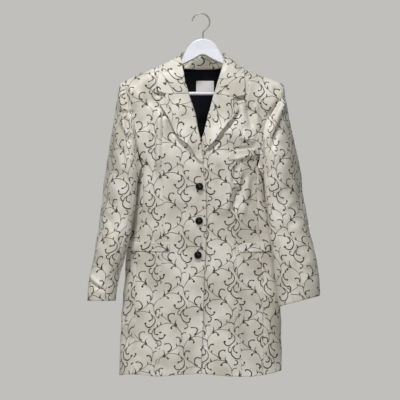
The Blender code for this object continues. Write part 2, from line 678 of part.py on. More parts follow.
front_edge_right = front_panels("right", EDGE_RIGHT, PRINCESS_RIGHT, ARM_FRONT_RIGHT, -80, -118, -222, True)
front_edge_left = front_panels("left", EDGE_LEFT, PRINCESS_LEFT, ARM_FRONT_LEFT, 82, 134, 226, False)
back_edge_left, back_edge_right = back_panel()
side_top_right = side_panel("right", ARM_FRONT_RIGHT, ARM_BACK_RIGHT, -1)
side_top_left = side_panel("left", ARM_FRONT_LEFT, ARM_BACK_LEFT, 1)
sleeve("right", front_edge_right, side_top_right, back_edge_right, SLEEVE_RIGHT, -1, CUFF_TILT_RIGHT)
sleeve("left", front_edge_left, side_top_left, back_edge_left, SLEEVE_LEFT, 1, CUFF_TILT_LEFT)
lapel("right", EDGE_RIGHT, FOOT_RIGHT, LAPEL_EDGE_RIGHT, NOTCH_RIGHT, True, -1)
lapel("left", EDGE_LEFT, FOOT_LEFT, LAPEL_EDGE_LEFT, NOTCH_LEFT, False, 1)
collar()
for welt, low_a, low_b, high_a, high_b, n, m in WELTS:
    patch = flat_patch((high_b, high_a, low_b, low_a), n, m)
    sheet = laid(patch[..., 0], patch[..., 1], CLOTH + LIE)
    wall(welt, sheet, CLOTH, IVORY, 0.42, outward(angle(patch[..., 0], patch[..., 1]), patch[..., 1]))
lining_x = np.linspace(-104, 104, 11)[None, ::-1]
lining_top = np.minimum(np.interp(lining_x, [-80, 5, 82], [-160, -153, -160]), smooth(RIDGE, lining_x) - 22)
lining_z = lining_top + (-430 - lining_top) * np.linspace(0, 1, 9)[:, None]
lining_phi = angle(np.broadcast_to(lining_x, lining_z.shape), lining_z, True)
lining_up = outward(lining_phi, lining_z)
wall("lining_back", skin(lining_phi, lining_z) - 2.7 * lining_up, 1.0, INK, 0.35, lining_up)
tag_corners = [(LABEL[1], LABEL[2]), (LABEL[0], LABEL[2]), (LABEL[1], LABEL[3]), (LABEL[0], LABEL[3])]
tag_patch = flat_patch(tag_corners, 4, 3)
tag_phi = angle(tag_patch[..., 0], tag_patch[..., 1], True)
tag_up = outward(tag_phi, tag_patch[..., 1])
wall("neck_label", skin(tag_phi, tag_patch[..., 1]) - 4.0 * tag_up, 0.7, (0.82, 0.80, 0.80), 0.6, tag_up)
for button, button_x, button_z in BUTTONS:
    seat = laid(button_x, button_z, CLOTH + LIE, True)
    lathe(button, BUTTON_PROFILE, seat, (0.006, 0.006, 0.006), 0.12)
hanger()
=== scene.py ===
"""Longline blazer on a wooden hanger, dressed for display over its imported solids.

Tables are in millimetres, meshes in metres. Every cloth piece is a thin shell: a grid of points on the hung
form, the same grid moved out by the cloth's wall, and a rounded rim between them.
"""
import math

import bmesh
import bpy
import numpy as np
from bpy.props import FloatProperty, FloatVectorProperty, PointerProperty
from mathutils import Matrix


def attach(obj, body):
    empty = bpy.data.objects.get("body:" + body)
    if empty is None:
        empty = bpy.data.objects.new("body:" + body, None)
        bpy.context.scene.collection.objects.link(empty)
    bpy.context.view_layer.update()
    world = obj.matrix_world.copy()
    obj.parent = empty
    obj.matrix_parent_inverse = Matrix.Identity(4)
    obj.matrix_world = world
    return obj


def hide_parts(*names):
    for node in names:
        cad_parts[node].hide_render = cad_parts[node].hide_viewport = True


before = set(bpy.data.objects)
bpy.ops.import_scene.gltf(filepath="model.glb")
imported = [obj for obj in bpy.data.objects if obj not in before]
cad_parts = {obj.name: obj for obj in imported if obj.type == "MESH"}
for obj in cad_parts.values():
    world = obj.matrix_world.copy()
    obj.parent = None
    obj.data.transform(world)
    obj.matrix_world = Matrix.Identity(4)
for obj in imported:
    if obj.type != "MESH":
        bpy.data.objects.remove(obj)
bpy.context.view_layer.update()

bl_info = {
    "name": "Longline Blazer",
    "version": (1, 0, 0),
    "blender": (4, 5, 0),
    "location": "View3D > Sidebar > Blazer",
    "description": "Cloth, trimmings and hanger of a longline jacquard blazer",
    "category": "Object",
}

MM = 0.001
BODY = "root"
# wall of the lined cloth, share of it that a rim bulges, air under a laid piece, half gaps in the lapel's roll
# and the collar's fold
CLOTH = 1.6
RIM = 0.4
LIE = 0.5
ROLL = 1.5
FOLD = 1.2
# rise of the lapped front, and where it starts and over how far: across, then down
LAP = 2.3
LAP_RISE = (-75.0, 40.0, -300.0, 60.0)
# unevenness of worn cloth: spacing and height of two lattices, their corners, a slow wave's height
RUMPLE = ((50.0, 3.8), (22.0, 1.0))
LATTICE = 256
SHUFFLE = np.random.default_rng(11).permutation(LATTICE)
LEANS = np.random.default_rng(12).normal(size=(LATTICE, 3))
SLOW_WAVE = 0.45
# sewn seams: half width of the valley, then height and reach of the pucker beside it
VALLEY = 1.8
PUCKER = (0.22, 7.0)
# body: depth in which the shoulder rounds off, flatness of the oval sections
ROUND = 60.0
FLAT = 2.6

# height, left edge, right edge, front depth, back depth
SECTIONS = (
    (-1010, -224, 219, 64, 56), (-920, -221, 220, 62, 54), (-795, -213, 217, 58, 50),
    (-645, -201, 203, 56, 44), (-560, -187, 190, 58, 42), (-520, -180, 182, 60, 43),
    (-440, -177, 176, 67, 50), (-390, -194, 190, 67, 53), (-340, -216, 212, 64, 54),
    (-280, -236, 236, 55, 52), (-200, -248, 250, 43, 46), (-140, -250, 252, 35, 41), (-90, -250, 252, 30, 38),
)
# shoulder line: across, height
RIDGE = (
    (-250, -214), (-222, -193), (-198, -180), (-158, -160), (-110, -145), (-80, -138), (-50, -125),
    (5, -108), (50, -120), (82, -137), (113, -152), (143, -162), (183, -177), (220, -193), (250, -219),
)
# back neck seam: across, height
NECK = ((-80, -138), (-60, -146), (-30, -149.5), (5, -150), (34, -149.5), (64, -145), (82, -137))
NECK_MIDDLE = 5
# height, across: the front edge below, the turned edge and neck seam above
EDGE_RIGHT = (
    (-1010, 0), (-899, 2), (-836, 6), (-731, 8), (-630, 13), (-516, 14), (-415, 5), (-345, -5),
    (-220, -36.5), (-187, -49), (-157, -64), (-138, -80),
)
EDGE_LEFT = (
    (-1010, -26), (-700, -26), (-440, -26), (-400, -13), (-345, 5.5),
    (-220, 40.5), (-187, 54), (-157, 69), (-137, 82),
)
PRINCESS_RIGHT = (
    (-1010, -118), (-800, -112), (-640, -106), (-520, -102), (-450, -105), (-400, -107), (-330, -105),
    (-270, -104), (-150, -118),
)
PRINCESS_LEFT = (
    (-1010, 112), (-800, 104), (-640, 95), (-530, 93), (-436, 103), (-350, 112), (-272, 121), (-158, 134),
)
# height, across: front seam of the side panel, then the armhole up to the shoulder point
ARM_FRONT_RIGHT = (
    (-1010, -184), (-800, -181), (-650, -171), (-520, -157), (-420, -159), (-385, -171), (-340, -178),
    (-275, -185), (-250, -193), (-225, -203), (-193, -222),
)
ARM_FRONT_LEFT = (
    (-1010, 170), (-800, 170), (-650, 163), (-520, 155), (-420, 152), (-385, 162), (-345, 168),
    (-305, 175), (-272, 195), (-240, 212), (-199, 226),
)
ARM_BACK_RIGHT = (
    (-1010, -176), (-800, -172), (-650, -162), (-520, -150), (-420, -160), (-390, -173), (-340, -182),
    (-270, -192), (-225, -206), (-193, -222),
)
ARM_BACK_LEFT = (
    (-1010, 172), (-800, 170), (-650, 160), (-520, 150), (-420, 156), (-390, 170), (-340, 178),
    (-275, 192), (-235, 211), (-199, 226),
)
# widths by which the panels' columns are spaced, and columns behind the neck
PANEL_WIDTH = {"front_": 115, "side_front_": 70, "back": 110, "side_": 90}
NECK_COLUMNS = 33
# drop of the upper rows below the shoulder line, then shares of the way to the armpit row
DROPS = (0, 2, 8, 18, 34, 60)
SHARES = (0.22, 0.44, 0.66, 0.85, 1.0)
NECK_ROWS = (-142.5, -147, -155, -168, -187)
ARMPIT = -420.0
ARMPIT_ROW = len(DROPS) + len(SHARES) - 1
LOWER_ROWS = (-450, -485, -520, -560, -600, -640, -685, -735, -790, -850, -915, -965)
# dip of the side panels' top edge and the rows in which it fades; rows drawn to the shoulder line and the hem
UNDERARM = (18, 2.2)
TOP_ROWS = 6.0
HEM_ROWS = 3.0
HEM_LEVEL = -1000
# hem: across, height
HEM = (
    (-230, -994), (-198, -987), (-168, -986), (-122, -990), (-70, -986), (-4, -982), (71, -989),
    (124, -991), (183, -986), (222, -978),
)
# large folds on the front: across and height of both ends, half width, height of the ridge
FOLDS = (
    (-101, -270, -106, -450, 13, 4.0), (-128, -285, -133, -420, 15, -4.0), (-150, -170, -138, -270, 22, -5.0),
    (150, -190, 142, -300, 22, -4.0), (108, -330, 150, -345, 16, 4.0), (118, -430, 96, -545, 15, -5.0),
    (86, -440, 70, -560, 20, 3.5), (-60, -700, -75, -990, 34, 4.0), (75, -690, 92, -990, 36, 4.0),
    (150, -700, 160, -990, 26, -4.0),
)
# creases seen from the front, placed one by one: across and height of both ends, half width, height
CREASES = (
    (-211, -194, -200, -268, 5, -5.0), (-223, -204, -213, -276, 7, 3.4), (-194, -190, -180, -266, 8, 3.4),
    (-224, -274, -172, -272, 5, -2.8), (-220, -290, -188, -346, 6, 4.0), (-205, -286, -195, -330, 5, -3.4),
    (-202, -350, -188, -416, 8, 2.6), (-214, -366, -208, -430, 6, -2.0), (-230, -300, -232, -400, 9, 2.0),
    (-111, -250, -117, -460, 5.5, 4.2), (-124, -268, -131, -430, 8, -2.6), (-101, -270, -104, -440, 6, -1.8),
    (-110, -446, -108, -512, 5, -2.4), (-82, -300, -86, -430, 8, -1.4), (-126, -160, -122, -215, 10, -1.5),
    (-168, -210, -160, -300, 10, 2.4), (-150, -300, -146, -420, 10, 2.2), (-146, -190, -138, -262, 9, -2.4),
    (-92, -292, -96, -440, 6, -1.3), (-64, -430, -52, -540, 14, 1.2), (-146, -480, -132, -610, 13, 1.3),
    (-80, -560, -92, -640, 9, -1.0), (-158, -690, -166, -960, 18, 1.8), (-128, -760, -134, -985, 12, -1.2),
    (-34, -760, -40, -975, 16, -1.4), (-12, -700, -16, -900, 10, 0.9), (196, -207, 226, -214, 7, -2.4),
    (233, -224, 182, -356, 9, 5.0), (222, -232, 180, -288, 6, -4.6), (216, -300, 190, -380, 7, -2.8),
    (124, -246, 140, -320, 6, -3.6), (110, -246, 120, -318, 8, 2.4), (150, -240, 154, -330, 7, 3.0),
    (98, -338, 152, -353, 6, 2.8), (88, -372, 152, -369, 4, -2.2), (88, -401, 150, -387, 6, 2.4),
    (150, -386, 164, -430, 7, -2.2), (98, -412, 86, -474, 5, -4.2), (111, -424, 99, -490, 6, 3.0),
    (104, -470, 82, -556, 7, -3.6), (130, -436, 112, -566, 8, 3.2), (88, -450, 62, -560, 8, 2.4),
    (146, -440, 138, -540, 9, -2.6), (70, -446, 40, -560, 12, 1.6), (48, -410, 60, -470, 9, -1.8),
    (158, -470, 150, -545, 8, -1.8), (52, -690, 60, -980, 15, -1.3), (118, -700, 130, -985, 15, -1.4),
    (186, -720, 196, -970, 14, 1.4), (34, -620, 28, -800, 13, 0.9), (-305, -712, -262, -752, 6, 3.0),
    (-302, -734, -254, -758, 5, -2.8), (-252, -560, -232, -600, 9, -1.6), (-268, -500, -226, -530, 10, -1.6),
    (-270, -528, -230, -560, 9, 1.4), (-280, -610, -246, -640, 10, -1.5), (-284, -640, -252, -668, 9, 1.2),
    (-250, -420, -222, -452, 11, -1.5), (-246, -380, -214, -402, 9, 1.3), (246, -470, 206, -506, 11, -1.8),
    (256, -510, 214, -540, 9, 1.5), (270, -560, 226, -590, 10, -1.7), (288, -610, 240, -648, 11, 1.5),
    (296, -660, 248, -690, 9, -1.4), (306, -700, 268, -742, 9, 1.3), (232, -390, 202, -424, 9, -1.5),
    (252, -430, 262, -600, 9, 1.2),
)
# creases seen from behind
BACK_CREASES = (
    (-20, -200, -26, -420, 22, 1.4), (44, -210, 50, -400, 18, -1.4), (-110, -190, -120, -330, 18, -1.8),
    (120, -190, 128, -330, 18, -1.6), (-96, -400, -112, -540, 14, -2.0), (96, -410, 110, -545, 14, -2.0),
    (-40, -440, -46, -600, 16, 1.4), (52, -450, 44, -610, 16, 1.2), (-70, -640, -86, -985, 26, 3.0),
    (16, -660, 10, -985, 22, -2.6), (84, -640, 100, -985, 26, 2.8), (-140, -690, -152, -980, 20, -2.2),
    (146, -690, 158, -980, 20, -2.2), (-206, -214, -196, -280, 8, -2.2), (210, -214, 198, -290, 9, -2.2),
    (-246, -470, -214, -505, 10, -1.6), (-262, -540, -226, -575, 10, 1.6), (-280, -630, -246, -662, 10, -1.5),
    (256, -470, 214, -506, 11, -1.7), (276, -560, 230, -592, 10, 1.6), (300, -650, 250, -684, 10, -1.5),
)
# hollows of the fronts beside the turned edges of lapels and collar: columns as for the creases
HOLLOWS = (
    (-12, -404, -66, -342, 7, -3.0), (-66, -342, -94, -290, 7, -3.0), (-94, -290, -117, -250, 7, -2.4),
    (-125, -166, -125, -214, 6, -2.4), (-126, -222, -98, -230, 5, -4.0),
    (17, -384, 66, -324, 7, -3.0), (66, -324, 106, -266, 7, -2.6),
    (123, -182, 123, -226, 6, -2.4), (123, -233, 93, -240, 5, -4.0),
)
# hollow of the left front beside the lapped edge
LAP_HOLLOWS = (
    (20, -420, 19, -580, 6, -2.2), (19, -540, 13, -740, 6, -2.2), (14, -700, 6, -880, 6, -2.2),
    (7, -840, 4, -1000, 6, -2.2),
)
# lapels: edge from the foot to the tip and the gorge corner, across and height, then the height of the foot
LAPEL_EDGE_RIGHT = ((6, -414), (-11, -396), (-26, -372), (-62, -338), (-89, -288), (-112, -249))
LAPEL_EDGE_LEFT = ((12, -378), (39, -347), (62, -318), (81, -296), (102, -264))
NOTCH_RIGHT = (-93, -223)
NOTCH_LEFT = (87, -233)
FOOT_RIGHT = -407.0
FOOT_LEFT = -347.0
# height of the gorge, share of it that is sewn to the collar, rows and columns of a lapel's leaf
GORGE = -221.0
GORGE_SEWN = 0.72
LAPEL_GRID = (84, 34)
# height from which the right lapel turns fully over, and over how far
LAPEL_BREAK = (-345, 20)
# air under a lapel's edge at its ends, and what is added between them
LAPEL_AIR = 4.5
LAPEL_BELLY = 5.0
# collar stations: place on the way round, seam across or height, turn, outer edge (None: on the skin)
COLLAR = (
    (0, -220.4, (-35.0, None, -220.4), (-120, None, -214)), (5, -187, (-45, None, -182), (-117, None, -189)),
    (9, -157, (-53, -22, -141), (-114, None, -163)), (12, -138, (-57, 3, -113), (-110, 0, -145)),
    (15, -62, (-50, 28, -106), (-90, 38, -160)), (18, 5, (5, 38, -103), (5, 52, -167)),
    (21, 66, (57, 28, -106), (95, 38, -163)), (24, -137, (66, 3, -113), (114, 0, -152)),
    (27, -157, (61, -22, -143), (118, None, -180)), (31, -187, (50, None, -182), (119, None, -204)),
    (36, -220.4, (39.0, None, -220.4), (118, None, -226)),
)
# stations at the two shoulder seams, and the last one
SIDES = (12, 24)
LAST = 36
# air under the collar's edge and turn, along the collar and at its ends; drop of the right and the left end
COLLAR_AIR = (2.4, 4.5)
TURN_AIR = (3.0, 0.4)
GORGE_SAG = (-6.0, -8.0)
# half width and depth of the panels that the collar clears, and how near they have to be
YOKE = (132, 70)
YOKE_NEAR = 14
# shares of the way down the fall, running length at each drawn row, columns of the stand, column of the turn
FALL = (0.14, 0.3, 0.48, 0.66, 0.84, 1.0)
COLLAR_RUN = (0, 9, 18, 24, 27, 30, 33, 36, 46, 58, 72, 86, 100, 114)
STAND_COLUMNS = 7
TURN_COLUMN = 20
# sleeves: height, outer edge, inner edge, middle depth, half depth, turn
SLEEVE_RIGHT = (
    (-475, -267, -176, -8, 60, 25), (-520, -272, -179, -12, 57, 24), (-590, -280, -190, -22, 52, 18),
    (-650, -290, -205, -34, 49, 9), (-700, -298, -218, -40, 46, 3), (-745, -305, -229, -44, 44, 0),
    (-785, -307, -233, -46, 42, 0),
)
SLEEVE_LEFT = (
    (-475, 278, 176, -20, 56, 30), (-520, 284, 178, -27, 53, 29), (-590, 296, 187, -41, 48, 22),
    (-650, 308, 195, -52, 45, 13), (-700, 315, 200, -57, 43, 7), (-745, 321, 205, -60, 41, 2),
    (-785, 321, 215, -60, 40, 0),
)
# cuff tilt outwards and to the front, and the height from which it comes in and over how far
CUFF_TILT_RIGHT = (0.0, 2.0)
CUFF_TILT_LEFT = (14.0, 3.0)
CUFF_FROM = (-650, 130)
# degrees round a sleeve: along the front armhole, the side panel and the back armhole; then its two seams
SLEEVE_ARCS = (138, 86, 136)
SLEEVE_SEAMS = (112, 250)
# rows of a sleeve's head and of the rest, and the row from which the repeat is counted
SLEEVE_ROWS = (58, 84)
SLEEVE_LEVEL = 70
# hanger: middle, thickness of the wood, rounding of its edges, then half its outline from the middle out
# along the top and back along the underside
HANGER_X = 5.5
WOOD = 16.0
WOOD_ROUND = 4.0
HANGER = (
    (0, -68), (15, -70.5), (29, -78), (42, -93.5), (51, -109), (57, -123), (65, -132), (75, -140),
    (85, -145), (110, -154.2), (140, -167), (180, -186), (203, -198), (211, -206), (212, -216), (207, -227),
    (198, -231), (189, -227), (184, -214), (170, -203), (140, -187), (110, -174), (85, -161), (57, -141),
    (25, -125), (0, -113),
)
# bar: radius, height, half length; from end to end, shares of the half length and of the radius
BAR = 5.0
BAR_Z = -219.0
BAR_HALF = 183.2
BAR_PROFILE = ((-1, 0.6), (-0.9986, 0.93), (-0.995, 1), (0.995, 1), (0.9986, 0.93), (1, 0.6))
# hook: radius of the wire and of the bow, arc of the bow in degrees, stem from the hanger's middle, end taper
WIRE = 1.9
HOOK_R = 24.0
HOOK_ARC = (-32, 172)
HOOK_STEM = ((0, -67.4), (0, -62), (0, -56), (0, -52), (3, -47))
HOOK_TAPER = ((0, 0.7), (-3, 0.95), (-2, 0.8), (-1, 0.45))
BUTTONS = (("button_top", -4, -475), ("button_middle", -5, -568), ("button_bottom", -8, -661))
# half profile of a button from the top of its dome: radius, height
BUTTON_PROFILE = (
    (0, 8.0), (3.5, 7.8), (6.8, 6.8), (9.2, 5.0), (10.5, 3.0), (10.2, 1.8), (9.0, 1.2), (3.0, 1.0),
    (3.0, 0.0),
)
# welts: name, two lower corners then two upper corners, across and height
WELTS = (
    ("breast_welt", (75, -403), (146, -399), (76, -377), (147, -373)),
    ("hip_welt_right", (-197, -650), (-85, -652), (-196, -626), (-85, -628)),
    ("hip_welt_left", (103, -653), (186, -652), (103, -630), (186, -629)),
)
WELT_GRID = (34, 12)
# back lining: half width, foot, top line, drop below the shoulder line, wall, air behind it
LINING_HALF = 104
LINING_FOOT = -430
LINING_TOP = ((-80, -160), (5, -153), (82, -160))
LINING_DROP = 22
LINING_WALL = 0.8
LINING_AIR = 3.0
# label: two sides, top and foot, then wall, depth inside the back and bow
LABEL = (-13, 36, -181, -217)
LABEL_GRID = (28, 20)
LABEL_WALL = 0.6
LABEL_AIR = 5.6
LABEL_BOW = 0.7
# where the repeat falls on each piece: across, up, turn in degrees
GRAIN = {
    "front_right": (14, 8, 0), "side_front_right": (22, 14, 0), "side_right": (5, 10, 0), "back": (0, 30, 0),
    "front_left": (20, 34, 0), "side_front_left": (10, 52, 0), "side_left": (50, 30, 0),
    "top_sleeve_right": (22, 8, 3), "under_sleeve_right": (0, 44, 0),
    "top_sleeve_left": (48, 70, -4), "under_sleeve_left": (10, 12, 0),
    "lapel_right": (20, 40, 0), "lapel_left": (46, 12, 0), "collar": (0, 24, 90),
    "breast_welt": (14, 30, 0), "hip_welt_right": (36, 12, 0), "hip_welt_left": (8, 48, 0),
}
# one half repeat of the scrolling vine, charted: centre across, centre up, radius, middle direction
# and half sweep in degrees, half width at the start and the end, radius of the end dot, way round
VINE = (
    (0.7, 163.5, 34.3, 208, 28, 0.58, 0.52, 0.0, 1),
    (-223.6, -209.1, 400, 56, 3.3, 0.7, 0.58, 0.0, 1),
    (-0.7, 81.5, 34.3, 28, 28, 0.52, 0.7, 0.0, 1),
    (-5, 77, 42, 91.6, 36.3, 0.6, 0.7, 0.0, 1),
    (-21, 94, 19, 194, 72, 0.7, 1.6, 0.0, 1),
    (-23, 84.5, 9.2, 315, 45, 1.55, 1.1, 2.7, 1),
    (-25, 102, 8.5, 205, 70, 1.2, 1.1, 2.2, 1),
    (-29, 65, 6.5, -10, 90, 1.1, 1.1, 2.1, -1),
    (6.9, 134, 11, 156, 94, 1.7, 1.1, 1.9, -1),
    (24, 120, 9.5, 178, 48, 1.8, 0.5, 0.0, -1),
    (12.5, 103, 7.5, 107, 62, 1.1, 1.1, 2.6, 1),
    (42, 86, 8, 122, 42, 1.3, 0.8, 1.5, -1),
    (-22.5, 154.5, 7, 137, 77, 1.6, 1.1, 1.9, -1),
    (-28, 144, 8, -8, 28, 1.8, 0.5, 0.0, 1),
    (-36, 117, 11.5, 11, 19, 1.9, 0.5, 0.0, 1),
)
# soft half edge of the woven stroke, and how far the repeat wanders
STROKE_EDGE = 0.35
WANDER = 5.0
# painted sheen: lighter and darker patches of the ground standing in for light caught and lost by the satin,
# as shares of its colour; the darker share also darkens threads and slubs
SHEEN_LIGHT = (1.17, 1.18, 1.21)
THREAD_AND_SHEEN_SHADE = (0.85, 0.84, 0.81)
# stage in metres: floor height and radius; lights by name, place, aim, size and watts
FLOOR_Z = -1.30
FLOOR_R = 1.0
LIGHTS = (
    ("key", (-0.65, -2.2, 2.9), (0.0, 0.0, -0.45), 0.6, 140.0),
    ("fill", (0.4, -3.2, -0.3), (0.0, 0.0, -0.4), 1.0, 18.0),
    ("side", (-2.5, -2.1, 0.4), (0.0, 0.0, -0.45), 0.8, 12.0),
    ("rear", (0.3, 2.6, -0.3), (0.0, 0.0, -0.5), 1.2, 30.0),
)
# colours of the floor, of the light all round and of the ground behind the part
FLOOR_COLOUR = (0.62, 0.62, 0.61, 1.0)
ROOM_COLOUR = (0.17, 0.17, 0.175, 1.0)
GROUND_COLOUR = (0.525, 0.52, 0.50, 1.0)
# camera: place, width of the sensor in millimetres, width of the view at the part in metres
CAMERA = (-0.0025, -4.5, -0.5115)
SENSOR = 36.0
VIEW_WIDTH = 1.1


def smooth(table, at):
    """Monotone cubic through the rows of a two-column table."""
    rows = np.array(sorted(table), float)
    key, value = rows[:, 0], rows[:, 1]
    step = np.diff(key)
    rise = np.diff(value) / step
    slope = np.concatenate(([rise[0]], np.zeros(len(key) - 2), [rise[-1]]))
    same = rise[:-1] * rise[1:] > 0
    total = np.where(same, rise[:-1] + rise[1:], 1.0)
    slope[1:-1] = np.where(same, 2 * rise[:-1] * rise[1:] / total, 0.0)
    at = np.clip(np.asarray(at, float), key[0], key[-1])
    i = np.clip(np.searchsorted(key, at, side="right") - 1, 0, len(step) - 1)
    t = (at - key[i]) / step[i]
    rise_a = slope[i] * step[i] * t * (1 - t) ** 2
    rise_b = slope[i + 1] * step[i] * t * t * (1 - t)
    return value[i] * (1 + 2 * t) * (1 - t) ** 2 + value[i + 1] * t * t * (3 - 2 * t) + rise_a - rise_b


def column(table, index, at):
    """One column of a many-column table, smoothed over its first column."""
    return smooth([(row[0], row[index]) for row in table], at)


def ease(t):
    """Smooth step from 0 to 1."""
    t = np.clip(t, 0.0, 1.0)
    return t * t * (3 - 2 * t)


def unit(v):
    """Vectors made one long."""
    return v / np.maximum(np.linalg.norm(v, axis=-1, keepdims=True), 1e-12)


def run_along(points):
    """Running length along a line of points."""
    return np.concatenate(([0], np.cumsum(np.linalg.norm(np.diff(points, axis=0), axis=-1))))


def circle(count):
    """Even angles once round."""
    return np.linspace(0, 2 * math.pi, count + 1)[:-1]


def spline(control, key, at, level_start=False):
    """Cubic through control rows at the keys, slopes from their neighbours; the first slope may be level."""
    p, key, at = np.asarray(control, float), np.asarray(key, float), np.asarray(at, float)
    slope = np.gradient(p, key, axis=0)
    if level_start:
        slope[0] = 0
    i = np.clip(np.searchsorted(key, at, side="right") - 1, 0, len(key) - 2)
    shape = (-1,) + (1,) * (p.ndim - 1)
    d = (key[i + 1] - key[i]).reshape(shape)
    u = (at - key[i]).reshape(shape) / d
    ends = p[i] * (1 + 2 * u) * (1 - u) ** 2 + p[i + 1] * u * u * (3 - 2 * u)
    return ends + slope[i] * d * u * (1 - u) ** 2 - slope[i + 1] * d * u * u * (1 - u)


def ridges(table, x, z):
    """Sum of soft ridges and troughs: a bell across each line, fading in and out along it."""
    total = np.zeros(np.broadcast(x, z).shape)
    for x0, z0, x1, z1, wide, high in table:
        dx, dz = x1 - x0, z1 - z0
        near = np.clip(((x - x0) * dx + (z - z0) * dz) / (dx * dx + dz * dz), 0, 1)
        away = np.hypot(x - x0 - near * dx, z - z0 - near * dz)
        total = total + high * np.exp(-(away / wide) ** 2) * ease(4 * near) * ease(4 - 4 * near)
    return total


def skin(phi, z, lap=False):
    """Inner side of the body cloth: flattened ovals by angle and height, turned over at the shoulder."""
    left, right = column(SECTIONS, 1, z), column(SECTIONS, 2, z)
    across, turned = np.sin(phi), np.cos(phi)
    x = (left + right) / 2 + (right - left) / 2 * across
    side = np.sqrt(np.clip(1 - np.abs(across) ** FLAT, 0, 1))
    h = np.clip((smooth(RIDGE, x) - z) / ROUND, 0, 1)
    over = np.sqrt(h * (2 - h))
    front = column(SECTIONS, 3, z) * side * over
    back = column(SECTIONS, 4, z) * side * over
    front = front + ridges(FOLDS, x, z) * np.clip(side * 1.5, 0, 1) * over
    if lap:
        x_from, x_over, z_from, z_over = LAP_RISE
        front = front + LAP * ease((x - x_from) / x_over) * ease((z_from - z) / z_over)
    return np.stack(np.broadcast_arrays(x, np.where(turned >= 0, -front, back), z), axis=-1)


def outward(phi, z, lap=False):
    """Unit normal of the skin, away from the hollow."""
    e, d = 0.004, 0.8
    around = skin(phi + e, z, lap) - skin(phi - e, z, lap)
    upward = skin(phi, z + d, lap) - skin(phi, z - d, lap)
    return unit(np.cross(around, upward))


def angle(x, z, back=False):
    """Angle on the skin of a point given across and by height."""
    left, right = column(SECTIONS, 1, z), column(SECTIONS, 2, z)
    q = np.clip((x - (left + right) / 2) / ((right - left) / 2), -1, 1)
    return math.pi - np.arcsin(q) if back else np.arcsin(q)


def laid(x, z, out, lap=False, back=False):
    """Point moved out from the skin, given across and by height."""
    x, z = np.broadcast_arrays(np.asarray(x, float), np.asarray(z, float))
    phi = angle(x, z, back)
    return skin(phi, z, lap) + outward(phi, z, lap) * np.asarray(out)[..., None]


def grid_normals(grid):
    """Unit normals of a grid from its two directions."""
    return unit(np.cross(np.gradient(grid, axis=1), np.gradient(grid, axis=0)))


def rumpled(points):
    """Uneven height of worn cloth at points in space: seeded gradient noise on two lattices, coarse and fine.

    At each corner of a point's lattice cell stands a fixed lean. The height is the corners' leans towards the
    point, faded from one corner to the next.
    """
    total = np.zeros(points.shape[:-1])
    leans = unit(LEANS)
    for spacing, high in RUMPLE:
        cell = np.floor(points / spacing).astype(int)
        inside = points / spacing - cell
        fade = inside ** 3 * (inside * (inside * 6 - 15) + 10)
        for corner in np.ndindex(2, 2, 2):
            a, b, c = np.moveaxis(cell + corner, -1, 0)
            lean = leans[SHUFFLE[(SHUFFLE[(SHUFFLE[a % LATTICE] + b) % LATTICE] + c) % LATTICE]]
            share = np.prod(np.where(corner, fade, 1 - fade), -1)
            total = total + high * share * np.sum(lean * (inside - corner), -1)
    return total


def creased(points, normals, hollows=()):
    """Move points along their normals by the creases of the side they face, by a slow wave and by the rumple.

    Hollows are troughs for the panels that lie under a turned edge.
    """
    strength = bpy.context.scene.blazer_sizes.crease
    x, y, z = points[..., 0], points[..., 1], points[..., 2]
    front = ease((-normals[..., 1] + 0.05) / 0.5)
    back = ease((normals[..., 1] + 0.05) / 0.5)
    high = ridges(CREASES + hollows, x, z) * front + ridges(BACK_CREASES, x, z) * back
    slow = np.sin(x / 23 + 1.3 * np.sin(z / 61)) * np.sin(z / 47 + 0.8 * np.sin(x / 37 + 2) + y / 30)
    return points + normals * (strength * (high + SLOW_WAVE * slow) + rumpled(points))[..., None]


def along(grid, axis, start):
    """Running length of a grid along one axis, measured from its start row or column."""
    step = np.linalg.norm(np.diff(grid, axis=axis), axis=-1)
    lead = np.zeros_like(np.take(step, [0], axis=axis))
    run = np.concatenate((lead, np.cumsum(step, axis=axis)), axis=axis)
    return run - np.take(run, [start], axis=axis)


def flat_cut(name, grid, start_row, start_col):
    """Cloth coordinates of a grid: running lengths across and up, laid on the repeat by the piece's grain."""
    upright = name.split("_")[0] in ("front", "side", "back")
    across = along(grid * (1, 1, 0) if upright else grid, 1, start_col)
    across = across * np.sign(np.mean(grid[:, -1, 0] - grid[:, 0, 0]))
    up = -along(grid, 0, start_row)
    if upright:
        across = across + grid[:, start_col, 0][:, None]
    shift_u, shift_v, turn = GRAIN.get(name, (0, 0, 0))
    c, s = math.cos(math.radians(turn)), math.sin(math.radians(turn))
    return np.stack((across * c - up * s + shift_u, across * s + up * c + shift_v), -1)


